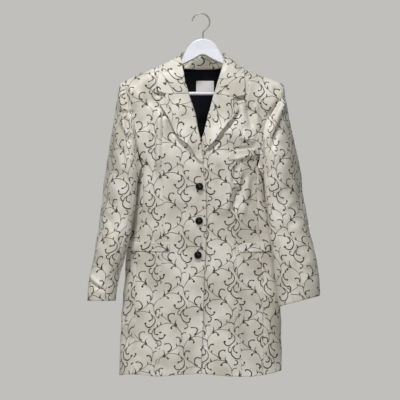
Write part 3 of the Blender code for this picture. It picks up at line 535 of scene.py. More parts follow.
def shell(name, node, inner, normals, wall, cut, looks, lined, band=0):
    """Closed thin cloth: inner grid, the same grid moved out by the wall, and a bulging rim between them.

    The second look goes on the inside of a lined piece, or on the first columns of the outside as a band.
    """
    rows, cols = inner.shape[:2]
    banded = np.arange(cols - 1) < band
    if np.sum(grid_normals(inner) * normals) < 0:
        inner, normals, cut, banded = inner[:, ::-1], normals[:, ::-1], cut[:, ::-1], banded[::-1]
    count = rows * cols
    index = np.arange(count).reshape(rows, cols)
    ring = np.concatenate((index[0, :-1], index[:-1, -1], index[-1, :0:-1], index[:0:-1, 0]))
    outer = inner + normals * wall
    middle = (inner + outer) / 2
    away = np.zeros_like(middle)
    away[0] += unit(middle[0] - middle[1])
    away[-1] += unit(middle[-1] - middle[-2])
    away[:, 0] += unit(middle[:, 0] - middle[:, 1])
    away[:, -1] += unit(middle[:, -1] - middle[:, -2])
    bead = (middle + unit(away) * wall * RIM).reshape(-1, 3)[ring]
    points = np.concatenate((inner.reshape(-1, 3), outer.reshape(-1, 3), bead)) * MM
    a, b = index[:-1, :-1].ravel(), index[:-1, 1:].ravel()
    c, d = index[1:, 1:].ravel(), index[1:, :-1].ravel()
    below = np.stack((a, d, c, b), 1)
    above = below[:, ::-1] + count
    after = np.roll(ring, -1)
    edge = np.arange(len(ring)) + 2 * count
    edge_after = np.roll(edge, -1)
    rim_low = np.stack((ring, after, edge_after, edge), 1)
    rim_high = np.stack((edge, edge_after, after + count, ring + count), 1)
    faces = np.concatenate((below, above, rim_low, rim_high))
    flat = cut.reshape(-1, 2)
    flat = np.concatenate((flat, flat, flat[ring])) * MM
    piece = put(name, points, faces, looks, flat)
    which = np.zeros(len(faces), np.int32)
    which[:len(below)] = lined
    which[len(below):2 * len(below)] = np.tile(banded, rows - 1)
    piece.data.polygons.foreach_set("material_index", which)
    declare(piece, node)


def put(name, points, faces, looks, flat=None):
    """Smooth mesh object at the origin from arrays of points and faces, with cloth coordinates where given."""
    mesh = bpy.data.meshes.new(name)
    mesh.from_pydata(points.tolist(), [], faces.tolist())
    if flat is not None:
        layer = mesh.uv_layers.new(name="cut")
        corner = np.empty(len(mesh.loops), np.int32)
        mesh.loops.foreach_get("vertex_index", corner)
        layer.data.foreach_set("uv", flat[corner].astype(np.float32).ravel())
    mesh.polygons.foreach_set("use_smooth", np.ones(len(mesh.polygons), bool))
    for look in looks:
        mesh.materials.append(look)
    mesh.update()
    piece = bpy.data.objects.new(name, mesh)
    bpy.context.scene.collection.objects.link(piece)
    return piece


def declare(piece, node):
    """Fix a piece to its body, and hide the imported solid that it stands for."""
    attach(piece, BODY)
    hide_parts(node)


def tube_faces(rings):
    """Points and faces of closed rings joined one to the next."""
    count, around = rings.shape[:2]
    index = np.arange(count * around).reshape(count, around)
    after = np.roll(index, -1, axis=1)
    faces = np.stack((index[:-1], after[:-1], after[1:], index[1:]), -1).reshape(-1, 4)
    return rings.reshape(-1, 3), faces


def turned(name, node, rings, look, slot):
    """Hard piece from closed rings: joined one to the next, flat at both ends, all faces turned outwards."""
    points, faces = tube_faces(rings)
    piece = put(name, points * MM, faces, [look])
    around = rings.shape[1]
    work = bmesh.new()
    work.from_mesh(piece.data)
    work.verts.ensure_lookup_table()
    work.faces.new(work.verts[:around][::-1])
    work.faces.new(work.verts[len(points) - around:])
    bmesh.ops.recalc_face_normals(work, faces=work.faces[:])
    for face in work.faces:
        face.smooth = len(face.verts) < 5
    work.to_mesh(piece.data)
    work.free()
    declare(piece, node)


def steps_between(values, step):
    """Finer keys between whole-numbered rows, more where the rows stand further apart."""
    keys = [np.linspace(i, i + 1, max(3, math.ceil(gap / step)), endpoint=False)
            for i, gap in enumerate(np.abs(np.diff(values)))]
    return np.append(np.concatenate(keys), len(values) - 1)


def beside_seams(width, step):
    """Keys from 0 to 1 across a panel, drawn together at both seams."""
    inner = np.linspace(0, 1, max(8, math.ceil(width / step)) + 1)
    close = np.array((1.0, 2.2)) / width
    return np.unique(np.round(np.concatenate((inner, close, 1 - close)), 6))


def rows_at(table, neck=False):
    """Places down one seam, across and by height: shoulder, upper rows, armpit, lower rows, hem."""
    shoulder_x = table[-1][1]
    top = float(smooth(RIDGE, shoulder_x))
    upper = [top] + list(NECK_ROWS) if neck else [top - d for d in DROPS]
    between = [upper[-1] + s * (ARMPIT - upper[-1]) for s in SHARES]
    z = np.array(upper + between + list(LOWER_ROWS), float)
    z = np.append(z, smooth(HEM, smooth(table, HEM_LEVEL)))
    x = smooth(table, z)
    x[0] = shoulder_x
    return x, z


def ruled(ends, keys):
    """Angle and height between seams, straight from one to the next, at keys from 0 to 1 for each gap."""
    phi, z = [], []
    for i, ((p0, z0), (p1, z1), t) in enumerate(zip(ends[:-1], ends[1:], keys)):
        t = t[None, (1 if i else 0):]
        phi.append(p0[:, None] * (1 - t) + p1[:, None] * t)
        z.append(z0[:, None] * (1 - t) + z1[:, None] * t)
    return np.concatenate(phi, 1), np.concatenate(z, 1)


def back_top(x):
    """Top line of the back: the neck seam in the middle, the shoulder line beside it."""
    return np.where((x > NECK[0][0]) & (x < NECK[-1][0]), smooth(NECK, x), smooth(RIDGE, x))


def shoulder(x):
    """Top line of the fronts."""
    return smooth(RIDGE, x)


def settled(phi, z, top, share):
    """Draw the upper rows up to the top line and the last rows down to the hem, less and less further in."""
    rows = share[:, None]
    for _ in range(4):
        x = skin(phi, z)[..., 0]
        if top is not None:
            z = z + (top(x[0]) - z[0]) * ease(1 - rows / TOP_ROWS)
        z = z + (smooth(HEM, x[-1]) - z[-1]) * ease(1 - (rows[-1] - rows) / HEM_ROWS)
    return z


def body_grids():
    """Angle, height and lap of every body panel on fine rows that meet at the seams."""
    step = bpy.context.scene.blazer_sizes.grid / MM
    row = np.arange(ARMPIT_ROW + len(LOWER_ROWS) + 2)
    share = steps_between(rows_at(PRINCESS_RIGHT)[1], step)

    def seam(table, neck=False, back=False):
        xs, zs = rows_at(table, neck)
        fine_z = spline(zs, row, share, True)
        return spline(angle(xs, zs, back), row, share), fine_z

    def straight(x, z):
        return angle(np.full(len(z), float(x)), z, True), z.copy()

    def front(tag, edge, princess, arm, lap):
        first, middle, last = seam(edge, True), seam(princess), seam(arm)
        found = []
        for name, ends in (("front_", (first, middle)), ("side_front_", (middle, last))):
            phi, z = ruled(ends, (beside_seams(PANEL_WIDTH[name], step),))
            found.append((name + tag, phi, settled(phi, z, shoulder, share), lap))
        return found

    grids = front("right", EDGE_RIGHT, PRINCESS_RIGHT, ARM_FRONT_RIGHT, True)
    grids += front("left", EDGE_LEFT, PRINCESS_LEFT, ARM_FRONT_LEFT, False)
    left, right = seam(ARM_BACK_LEFT, back=True), seam(ARM_BACK_RIGHT, back=True)
    keys = beside_seams(PANEL_WIDTH["back"], step)
    phi, z = ruled((left, straight(NECK[-1][0], left[1]), straight(NECK[0][0], right[1]), right),
                   (keys, np.linspace(0, 1, NECK_COLUMNS), keys))
    grids.append(("back", phi, settled(phi, z, back_top, share), False))
    lower = share >= ARMPIT_ROW
    keys = beside_seams(PANEL_WIDTH["side_"], step)
    deep, rows = UNDERARM
    dip = deep * np.sin(math.pi * keys) * ease(1 - (share[lower] - ARMPIT_ROW) / rows)[:, None]
    for tag, front_arm, back_arm, turn in (
        ("right", ARM_FRONT_RIGHT, ARM_BACK_RIGHT, -2 * math.pi),
        ("left", ARM_FRONT_LEFT, ARM_BACK_LEFT, 0.0),
    ):
        (p0, z0), (p1, z1) = seam(front_arm), seam(back_arm, back=True)
        phi, z = ruled(((p0[lower], z0[lower]), (p1[lower] + turn, z1[lower])), (keys,))
        grids.append(("side_" + tag, phi, settled(phi, z - dip, None, share[lower]), False))
    return {name: (phi, z, lap) for name, phi, z, lap in grids}, share


def grooved(grid, normals, sides):
    """Sink the sewn sides of a grid into a narrow valley, faintly puckered along its length."""
    depth = bpy.context.scene.blazer_sizes.groove / MM
    run = along(grid, 1, 0)
    reach = {"first": run, "last": run[:, -1:] - run}
    down = along(grid, 0, 0)
    high, wide = PUCKER
    sink = np.zeros(grid.shape[:2])
    for side in sides:
        away = reach[side]
        sink = sink + depth * np.exp(-(away / VALLEY) ** 2)
        sink = sink + high * np.sin(down / 3.1 + 1.7 * np.sin(down / 19)) * np.exp(-(away / wide) ** 2)
    return grid - normals * sink[..., None]


def ring_points(table, theta, z, sign, tilt):
    """Sleeve section: oval by angle from the outer side towards the front, at a height."""
    outer, inner = column(table, 1, z), column(table, 2, z)
    middle, deep, turn = column(table, 3, z), column(table, 4, z), column(table, 5, z)
    wide = np.sqrt(((outer - inner) / 2) ** 2 - turn ** 2)
    c, s = np.cos(theta), np.sin(theta)
    x = (outer + inner) / 2 + sign * (wide * c - turn * s)
    level = ease((CUFF_FROM[0] - z) / CUFF_FROM[1])
    return np.stack((x, middle - deep * s, z + level * (tilt[0] * c + tilt[1] * s)), axis=-1)


def sleeve_grid(grids, share, tag, table, sign, tilt):
    """Sleeve from the armhole: bent rulings down to the first section, then sections down to the cuff."""
    def edge(name, col):
        phi, z, lap = grids[name]
        base, up = skin(phi, z, lap), outward(phi, z, lap)
        return base[share <= ARMPIT_ROW, col], up[share <= ARMPIT_ROW, col]

    phi, z, _ = grids["side_" + tag]
    under_base, under_up = skin(phi, z)[0], outward(phi, z)[0]
    front, front_up = edge("side_front_" + tag, -1)
    back, back_up = edge("back", 0 if sign > 0 else -1)
    back, back_up = back[::-1], back_up[::-1]

    def run(p):
        length = run_along(p)
        return length / length[-1]

    points = np.concatenate((front, under_base[1:-1], back))
    ups = np.concatenate((front_up, under_up[1:-1], back_up))
    down = np.concatenate((run(front), np.ones(len(under_base) - 2), 1 - run(back)))
    low = ease((down - 0.45) / 0.3)
    lift = 0.35 * (1 - low) + (CLOTH + LIE + CLOTH * down ** 6) * low
    points = points + unit(ups) * lift[:, None]
    points[0] = points[-1] = (points[0] + points[-1]) / 2
    arc, arc_under, arc_back = SLEEVE_ARCS
    theta = np.radians(np.concatenate((arc * run(front), arc + arc_under * run(under_base)[1:-1],
                                       arc + arc_under + arc_back * run(back))))
    top, second, cuff = table[0][0], table[1][0], table[-1][0]
    level = np.full(len(theta), 1.0)
    first = ring_points(table, theta, top * level, sign, tilt)
    below = ring_points(table, theta, second * level, sign, tilt)
    bend = first.copy()
    bend[:, 2] = points[:, 2] + 0.42 * (first[:, 2] - points[:, 2])
    bend[:, :2] += ((below - first)[:, :2] / (second - top)) * 0.8 * (bend[:, 2:] - top)
    head_rows, rows = SLEEVE_ROWS
    t = (np.linspace(0, 1, head_rows)[:-1] ** 1.25)[:, None, None]
    head = points * (1 - t) ** 2 + bend * 2 * t * (1 - t) + first * t * t
    heights = np.linspace(top, cuff, rows)[:, None] * level
    arm = ring_points(table, np.broadcast_to(theta, heights.shape), heights, sign, tilt)
    grid = np.concatenate((head, arm))
    loop = grid[:, :-1]
    normals = grid_normals(np.concatenate((loop[:, -2:], loop, loop[:, :2]), 1))[:, 2:-2]
    normals = np.concatenate((normals, normals[:, :1]), 1)
    return grid, normals * np.sign(normals[-1, 0, 0] * sign), theta


def lapel_grid(tag, edge, foot, outer, notch, lap, sign):
    """Facing strip inside, half turn over the edge, and a leaf between roll line, gorge and outer edge."""
    s, w = (np.linspace(0, 1, count) for count in LAPEL_GRID)
    z_line = foot + (GORGE - foot) * s
    line = np.stack((smooth(edge, z_line), z_line), -1)
    corner = np.array(outer, float)
    run = run_along(corner)
    rim = spline(corner, run / run[-1], s)
    turn_in = np.array(notch, float)
    sewn = line[-1] + (turn_in - line[-1]) * (w / GORGE_SEWN)[:, None]
    free = turn_in + (rim[-1] - turn_in) * ((w - GORGE_SEWN) / (1 - GORGE_SEWN))[:, None]
    gorge = np.where((w < GORGE_SEWN)[:, None], sewn, free)
    low = line[0] + (rim[0] - line[0]) * w[:, None]
    ss, ww = s[:, None, None], w[None, :, None]
    flat = (1 - ww) * line[:, None] + ww * rim[:, None] + (1 - ss) * low[None] + ss * gorge[None]
    flat = flat - (1 - ww) * ((1 - ss) * line[0] + ss * line[-1]) - ww * ((1 - ss) * rim[0] + ss * rim[-1])
    ss, ww = ss[..., 0], ww[..., 0]
    belly = (LAPEL_AIR + LAPEL_BELLY * np.sin(math.pi * ss ** 0.8) ** 2) * ease(ss / 0.1) * ww ** 3
    stand_off = LIE + (ROLL - LIE) * (1 - ww) ** 2 + belly
    leaf = laid(flat[..., 0], flat[..., 1], CLOTH + stand_off, lap)
    middle = laid(line[:, 0], line[:, 1], np.full(len(s), CLOTH / 2), lap)
    up = unit(leaf[:, 0] - middle)
    inward = unit(np.cross(up, unit(np.gradient(middle, axis=0))))
    inward = np.where(inward[:, :1] * sign < 0, inward, -inward)
    radius = CLOTH / 2 + ROLL
    most = np.full(len(s), math.pi)
    if tag == "right":
        most = math.pi * (0.5 + 0.5 * ease((z_line - LAPEL_BREAK[0]) / LAPEL_BREAK[1]))
    turns = [middle + radius * (np.cos(most * k)[:, None] * up + np.sin(most * k)[:, None] * inward)
             for k in np.linspace(1, 0, 12)[:-1]]
    tuck = turns[0] - inward * (0.4 + 12.0 * ease((most[:, None] - 2.9) / 0.24))
    tuck = tuck - up * np.where(most[:, None] < 2.0, 0.6, 0.0)
    strip = [turns[0] + (tuck - turns[0]) * k for k in (1.0, 0.66, 0.33)]
    grid = np.concatenate((np.stack(strip + turns, 1), leaf), 1)
    ups = grid_normals(grid)
    return grid, -ups * np.sign(ups[len(s) // 2, -len(w) // 3, 1]), len(strip) + len(turns)


def shoulder_points():
    """Outer side of the panels about the neck and shoulders, as points and normals."""
    half, deep = YOKE
    x = np.linspace(-half, half, half + 1)[None, :]
    drop = deep * (1 - np.cos(np.linspace(0, math.pi / 2, 26)))[:, None]
    spots, ups = [], []
    for back in (False, True):
        z = (back_top(x) if back else shoulder(x)) - drop
        phi = angle(x + 0 * z, z, back)
        edge = np.where(x < NECK_MIDDLE, smooth(EDGE_RIGHT, z), smooth(EDGE_LEFT, z))
        there = (np.abs(x - NECK_MIDDLE) > np.abs(edge - NECK_MIDDLE)) | back
        up = outward(phi, z)
        spots.append((skin(phi, z) + up * CLOTH)[there])
        ups.append(up[there])
    return np.concatenate(spots), np.concatenate(ups)


def lifted(points, air):
    """Move points that come nearer the panels than the given air out along the panel's normal."""
    spots, ups = shoulder_points()
    flat = points.reshape(-1, 3).copy()
    for _ in range(4):
        nearest = np.argmin(np.sum((flat[:, None] - spots[None]) ** 2, -1), 1)
        off = np.sum((flat - spots[nearest]) * ups[nearest], -1)
        beside = np.linalg.norm(flat - spots[nearest], axis=-1) < YOKE_NEAR
        flat += ups[nearest] * np.where(beside, np.clip(air - off, 0, None), 0)[:, None]
    return flat.reshape(points.shape)


def neck_seam(station):
    """Neck seam on the outer side of the panels: right front edge, back neck, left front edge."""
    first, last = SIDES
    front = [(row[0], row[1]) for row in COLLAR if row[0] <= first]
    behind = [(first, NECK[0][0]), (last, NECK[-1][0])]
    behind += [(row[0], row[1]) for row in COLLAR if first < row[0] < last]
    other = [(row[0], row[1]) for row in COLLAR if row[0] >= last]
    z_right, z_left, x_back = smooth(front, station), smooth(other, station), smooth(behind, station)
    right = laid(smooth(EDGE_RIGHT, z_right), z_right, CLOTH)
    left = laid(smooth(EDGE_LEFT, z_left), z_left, CLOTH)
    back = laid(x_back, smooth(NECK, x_back), CLOTH, back=True)
    s = station[:, None]
    return np.where(s <= first, right, np.where(s >= last, left, back))


def on_skin(place, air):
    """Place as it stands, or laid over the panels with some air where its depth is left open."""
    x, y, z = place
    return laid(x, z, CLOTH + air) if y is None else np.array(place, float)


def collar_grid():
    """Stand from the neck seam, half turn and fall over the shoulders, drawn finer both ways by cubics."""
    ends = [int(row[0] in (0, LAST)) for row in COLLAR]
    turn = [on_skin(row[2], TURN_AIR[end]) for row, end in zip(COLLAR, ends)]
    edge = [on_skin(row[3], COLLAR_AIR[end]) for row, end in zip(COLLAR, ends)]
    station = np.arange(LAST + 1, dtype=float)
    key = [row[0] for row in COLLAR]
    seam, turn, edge = neck_seam(station), spline(turn, key, station), spline(edge, key, station)
    rise = unit(turn - seam)
    share = np.linspace(0, 1, LAST + 1)
    sweep = ease((share - 0.12) / 0.28) - ease((share - 0.60) / 0.28)
    peak = 1.1 * np.sin(2 * math.pi * np.clip(np.minimum(share, 1 - share), 0, 0.5))
    out = np.stack((0 * share, -1 + 2 * sweep, np.abs(peak) * (1 - sweep ** 4)), -1)
    out = unit(out - rise * np.sum(out * rise, -1, keepdims=True))
    start = seam + rise * 0.8
    stand = [start, start * 0.67 + turn * 0.33, start * 0.33 + turn * 0.67]
    fold = [turn + out * FOLD * (1 + math.cos(a)) + rise * FOLD * math.sin(a)
            for a in np.linspace(math.pi, 0, 5)]
    near = np.clip(1 - np.minimum(station, LAST - station) / 5, 0, 1) ** 2
    sag = near[:, None] * np.where(station[:, None] < LAST / 2, *GORGE_SAG) * (0, 0, 1)
    fall = [fold[-1] * (1 - w) + edge * w + out * 4.0 * w * (1 - w) + sag * min(w / 0.66, (1 - w) / 0.34)
            for w in FALL]
    fall = lifted(np.stack(fall, 1), COLLAR_AIR[0])
    coarse = np.concatenate((np.stack(stand + fold, 1), fall), 1)
    fine = spline(coarse, station, np.linspace(0, LAST, 6 * LAST + 1))
    keys = steps_between(np.array(COLLAR_RUN), 3.2)
    fine = np.moveaxis(spline(np.moveaxis(fine, 1, 0), np.arange(len(COLLAR_RUN)), keys), 0, 1)
    ups = grid_normals(fine)
    return fine, ups * np.sign(ups[len(fine) // 2, -6, 1])


def inside(x, z, deep):
    """Points in the hollow at some depth from the back, and the back's normals there."""
    phi = angle(x, z, True)
    up = outward(phi, z)
    return skin(phi, z) - deep[..., None] * up, up


def along_pair(grid):
    """Running lengths of a grid both ways."""
    return np.stack((along(grid, 1, 0), along(grid, 0, 0)), -1)


def hanger_body_rings():
    """Rings of the shaped wood from front to back: its outline, drawn in by a quarter round at both faces."""
    half = np.array(HANGER, float)
    loop = np.concatenate((half, half[-2:0:-1] * (-1, 1))) + (HANGER_X, 0)
    wrapped = np.concatenate((loop[-3:], loop, loop[:4]))
    outline = spline(wrapped, np.arange(len(wrapped)) - 3.0, np.arange(0, len(loop), 0.25))
    ahead = np.roll(outline, -1, 0) - np.roll(outline, 1, 0)
    aside = unit(np.stack((ahead[:, 1], -ahead[:, 0]), -1))
    aside = aside * np.sign(np.sum(aside * (outline - outline.mean(0))))
    turn = np.linspace(0, math.pi / 2, 7)
    rise, fade = WOOD_ROUND * (1 - np.cos(turn)), WOOD_ROUND * (1 - np.sin(turn))
    inset = np.concatenate((fade, rise))
    depth = np.concatenate((-WOOD / 2 + rise, WOOD / 2 - fade))
    flat = outline - aside * inset[:, None, None]
    return np.stack((flat[..., 0], np.broadcast_to(depth[:, None], flat.shape[:2]), flat[..., 1]), -1)


def hanger_bar_rings():
    """Rings of the round bar from end to end, eased at both ends."""
    share = np.array(BAR_PROFILE, float)
    x, radius = share[:, :1] * BAR_HALF + HANGER_X, share[:, 1:] * BAR
    turn = circle(32)
    return np.stack(np.broadcast_arrays(x, radius * np.cos(turn), BAR_Z + radius * np.sin(turn)), -1)


def hanger_hook_rings():
    """Rings of the wire along its stem and bow: a circle across the line, drawn in at the ends."""
    around = np.radians(np.linspace(*HOOK_ARC, 70))
    bow = np.stack((HOOK_R * np.cos(around), WIRE - HOOK_R + HOOK_R * np.sin(around)), -1)
    line = np.concatenate((np.array(HOOK_STEM, float) + (HANGER_X, 0), bow))
    run = run_along(line)
    line = spline(line, run, np.linspace(0, run[-1], 150))
    ahead = unit(np.gradient(line, axis=0))
    radius = np.full((len(line), 1), WIRE)
    for place, share in HOOK_TAPER:
        radius[place] *= share
    turn = circle(16)
    off = radius * np.cos(turn)
    x, z = line[:, :1] + ahead[:, 1:] * off, line[:, 1:] - ahead[:, :1] * off
    return np.stack((x, radius * np.sin(turn), z), -1)


def button_profile():
    """Half profile of a button drawn finer: a shallow dome, then even steps down to the shank."""
    (_, top), *rest = BUTTON_PROFILE
    profile = np.array(rest, float)
    wide, edge = profile[0]
    run = run_along(profile)
    at = np.linspace(0, run[-1], 40)
    side = np.stack([np.interp(at, run, values) for values in profile.T], -1)
    share = np.linspace(0.15, 1, 14)[:-1]
    return np.concatenate((np.stack((wide * share, top - (top - edge) * share ** 2), -1), side))


def patch(corners, across, down):
    """Flat patch between four corners, as across and height."""
    a, b, c, d = (np.array(p, float) for p in corners)
    u = np.linspace(0, 1, across + 1)[None, :, None]
    v = np.linspace(0, 1, down + 1)[:, None, None]
    return (a * (1 - u) + b * u) * (1 - v) + (c * (1 - u) + d * u) * v


class Net:
    """Short hand for wiring a node tree."""

    def __init__(self, tree):
        self.tree = tree

    def node(self, kind, **settings):
        """New node with its settings."""
        made = self.tree.nodes.new(kind)
        for key, value in settings.items():
            setattr(made, key, value)
        return made

    def join(self, value, socket):
        """Link a socket to a socket, or set a constant on it."""
        if isinstance(value, bpy.types.NodeSocket):
            self.tree.links.new(value, socket)
        else:
            socket.default_value = value

    def fed(self, made, *values):
        """Outputs of a node whose inputs take the values in order."""
        for value, socket in zip(values, made.inputs):
            self.join(value, socket)
        return made.outputs

    def math(self, operation, *values):
        """Arithmetic on numbers."""
        return self.fed(self.node("ShaderNodeMath", operation=operation), *values)[0]

    def vector(self, operation, *values):
        """Arithmetic on vectors."""
        return self.fed(self.node("ShaderNodeVectorMath", operation=operation), *values)["Vector"]

    def split(self, value):
        """First two parts of a vector."""
        return self.fed(self.node("ShaderNodeSeparateXYZ"), value)[:2]

    def length(self, first, second):
        """Length of a flat vector."""
        squared = self.math("MULTIPLY_ADD", first, first, self.math("MULTIPLY", second, second))
        return self.math("SQRT", squared)

    def ramp(self, value, low, high, start, end, kind="LINEAR"):
        """Value carried from one range to another."""
        made = self.node("ShaderNodeMapRange", interpolation_type=kind)
        return self.fed(made, value, low, high, start, end)["Result"]

    def cut(self):
        """Cloth coordinates."""
        return self.node("ShaderNodeUVMap", uv_map="cut").outputs[0]

    def noise(self, place, scale, detail=2.0, dimensions="2D"):
        """Cloudy noise, as a number and as a colour."""
        made = self.node("ShaderNodeTexNoise", noise_dimensions=dimensions)
        made.inputs["Scale"].default_value = scale
        made.inputs["Detail"].default_value = detail
        self.join(place, made.inputs["Vector"])
        return made.outputs

    def waves(self, place, direction, scale, distortion=0.0):
        """Even bands."""
        made = self.node("ShaderNodeTexWave", wave_type="BANDS", bands_direction=direction)
        made.inputs["Scale"].default_value = scale
        made.inputs["Distortion"].default_value = distortion
        self.join(place, made.inputs["Vector"])
        return made.outputs["Fac"]

    def blend(self, share, first, second):
        """One colour fading into another."""
        made = self.node("ShaderNodeMix", data_type="RGBA")
        self.join(share, made.inputs[0])
        self.join(first, made.inputs[6])
        self.join(second, made.inputs[7])
        return made.outputs[2]


def curl(net, u, v, row, across, up, step, broad):
    """Distance to one curl of the vine on its nearest repeat: an arc whose width tapers, with an end dot.

    The place is brought to the nearest repeat and turned so that the arc's middle lies ahead. Its bearing,
    held within the sweep, gives the nearest point of the arc.
    """
    cu, cv, radius, turn, half, start, end, dot, way = row
    turn, half = math.radians(turn), math.radians(half)
    swept = turn + half * np.linspace(-1, 1, 9)
    home_u = cu + radius * (np.cos(swept).min() + np.cos(swept).max()) / 2
    home_v = cv + radius * (np.sin(swept).min() + np.sin(swept).max()) / 2
    c, s = math.cos(turn), math.sin(turn)
    stem = net.math("ROUND", net.math("MULTIPLY_ADD", u, 1 / across, -home_u / across))
    u = net.math("MULTIPLY_ADD", stem, -across, u)
    v = net.math("WRAP", net.math("MULTIPLY_ADD", stem, -step, v), home_v + up / 2, home_v - up / 2)
    ahead = net.math("MULTIPLY_ADD", u, c, net.math("MULTIPLY_ADD", v, s, -cu * c - cv * s))
    aside = net.math("MULTIPLY_ADD", u, -s, net.math("MULTIPLY_ADD", v, c, cu * s - cv * c))
    bearing = net.math("MAXIMUM", net.math("MINIMUM", net.math("ARCTAN2", aside, ahead), half), -half)
    off_u = net.math("MULTIPLY_ADD", net.math("COSINE", bearing), -radius, ahead)
    off_v = net.math("MULTIPLY_ADD", net.math("SINE", bearing), -radius, aside)
    taper, mean = broad * way * (end - start) / (2 * half), broad * (start + end) / 2
    wide = net.math("MULTIPLY_ADD", bearing, taper, mean)
    found = net.math("SUBTRACT", net.length(off_u, off_v), wide)
    if dot:
        off_u = net.math("SUBTRACT", ahead, radius * math.cos(half))
        off_v = net.math("SUBTRACT", aside, way * radius * math.sin(half))
        found = net.math("MINIMUM", found, net.math("SUBTRACT", net.length(off_u, off_v), dot * broad))
    return found


def vine(net, place, sizes):
    """Distance to the whole figure: the curls of the half repeat, and the same turned over half a wave up."""
    across, up, step = sizes.repeat_across / MM, sizes.repeat_up / MM, sizes.repeat_step / MM
    u, v = net.split(place)
    over, raised = net.math("MULTIPLY", u, -1.0), net.math("ADD", v, up / 2)
    nearest = 100.0
    for at_u, at_v, rise in ((u, v, step), (over, raised, -step)):
        for row in VINE:
            nearest = net.math("MINIMUM", nearest, curl(net, at_u, at_v, row, across, up, rise, sizes.stroke))
    return nearest


def fresh(name):
    """New material with its principled shader and a net."""
    look = bpy.data.materials.new(name)
    look.use_nodes = True
    return look, Net(look.node_tree), look.node_tree.nodes["Principled BSDF"]


def bumped(net, shader, height, strength, distance):
    """Wire a height into the shader's normal."""
    bump = net.node("ShaderNodeBump")
    bump.inputs["Strength"].default_value = strength
    bump.inputs["Distance"].default_value = distance
    net.join(height, bump.inputs["Height"])
    net.join(bump.outputs[0], shader.inputs["Normal"])


def jacquard(name="jacquard_weave", tint="ivory"):
    """Satin ground with fine cross threads and painted sheen in slow light and dark patches, and the vine
    woven in as a darker, slightly raised figure.
    """
    found = bpy.data.materials.get(name)
    if found:
        return found
    sizes, colours = bpy.context.scene.blazer_sizes, bpy.context.scene.blazer_colours
    look, net, shader = fresh(name)
    place = net.vector("SCALE", net.cut())
    place.node.inputs["Scale"].default_value = 1 / MM
    drift = net.vector("SUBTRACT", net.noise(place, 0.05, 0.0)["Color"], (0.5, 0.5, 0.5))
    wandering = net.vector("MULTIPLY_ADD", drift, (WANDER, WANDER, 0.0), place)
    figure = net.ramp(vine(net, wandering, sizes), -STROKE_EDGE, STROKE_EDGE, 1.0, 0.0, "SMOOTHSTEP")
    thread = net.waves(place, "DIAGONAL", 0.42, 0.6)
    slub = net.noise(net.vector("MULTIPLY", place, (0.07, 0.9, 1.0)), 1.0, 3.0)["Fac"]
    cloud = net.noise(place, 0.012)["Fac"]
    base = tuple(getattr(colours, tint))
    light = (*[min(1.0, c * f) for c, f in zip(base, SHEEN_LIGHT)], 1.0)
    shade = (*[c * f for c, f in zip(base, THREAD_AND_SHEEN_SHADE)], 1.0)
    # painted sheen: slow cloudy patches fade between the shaded and the lit copy of the ground
    ground = net.blend(net.ramp(cloud, 0.36, 0.64, 0.0, 1.0), shade, light)
    ground = net.blend(net.ramp(slub, 0.42, 0.75, 0.0, 0.35), ground, shade)
    ground = net.blend(net.ramp(thread, 0.0, 1.0, 0.14, 0.0), ground, shade)
    net.join(net.blend(figure, ground, (*colours.figure, 1.0)), shader.inputs["Base Color"])
    gloss = net.math("MULTIPLY_ADD", slub, 0.16, 0.36)
    net.join(net.math("MULTIPLY_ADD", figure, 0.16, gloss), shader.inputs["Roughness"])
    shader.inputs["Specular IOR Level"].default_value = 0.5
    shader.inputs["Sheen Weight"].default_value = 0.12
    shader.inputs["Sheen Roughness"].default_value = 0.4
    height = net.math("MULTIPLY_ADD", thread, 0.05, net.math("MULTIPLY", slub, 0.08))
    bumped(net, shader, net.math("MULTIPLY_ADD", figure, 0.12, height), 1.0, 0.001)
    return look


def lining_look():
    """Dark smooth lining with a fine twill line and a soft gloss."""
    found = bpy.data.materials.get("lining_twill")
    if found:
        return found
    look, net, shader = fresh("lining_twill")
    twill = net.waves(net.cut(), "DIAGONAL", 380.0)
    cloud = net.noise(net.cut(), 14.0, dimensions="3D")["Fac"]
    dark = tuple(bpy.context.scene.blazer_colours.lining)
    lighter = (*[c * 1.9 for c in dark], 1.0)
    net.join(net.blend(cloud, (*dark, 1.0), lighter), shader.inputs["Base Color"])
    net.join(net.math("MULTIPLY_ADD", cloud, 0.2, 0.36), shader.inputs["Roughness"])
    shader.inputs["Specular IOR Level"].default_value = 0.06
    bumped(net, shader, twill, 0.2, 0.0002)
    return look


def label_look():
    """White woven satin label with fine cross ribs."""
    look, net, shader = fresh("label_satin")
    rib = net.waves(net.cut(), "Y", 420.0)
    white = tuple(bpy.context.scene.blazer_colours.label)
    shade = (*[c * 0.86 for c in white], 1.0)
    net.join(net.blend(rib, shade, (*white, 1.0)), shader.inputs["Base Color"])
    net.join(net.ramp(rib, 0.0, 1.0, 0.55, 0.42), shader.inputs["Roughness"])
    bumped(net, shader, rib, 0.3, 0.0002)
    return look


def glossy_look(name, colour, low, high, scale, metal=0.0, coat=0.0, bump=0.05, shine=0.5):
    """Hard smooth finish whose gloss and colour vary a little, for wood, buttons and wire."""
    found = bpy.data.materials.get(name)
    if found:
        return found
    look, net, shader = fresh(name)
    place = net.node("ShaderNodeTexCoord").outputs["Object"]
    cloud = net.noise(net.vector("MULTIPLY", place, (1.0, 3.0, 3.0)), scale, 4.0, "3D")["Fac"]
    shade = (*[c * 0.88 for c in colour], 1.0)
    net.join(net.blend(cloud, shade, (*colour, 1.0)), shader.inputs["Base Color"])
    net.join(net.ramp(cloud, 0.3, 0.7, low, high), shader.inputs["Roughness"])
    shader.inputs["Metallic"].default_value = metal
    shader.inputs["Specular IOR Level"].default_value = shine
    shader.inputs["Coat Weight"].default_value = coat
    bumped(net, shader, cloud, bump, 0.0003)
    return look


def length_setting(name, description, default, low, high):
    """Length property in metres."""
    return FloatProperty(name=name, description=description, default=default, min=low, max=high,
                         unit="LENGTH")


def share_setting(name, description, default, low, high):
    """Share property."""
    return FloatProperty(name=name, description=description, default=default, min=low, max=high,
                         subtype="FACTOR")


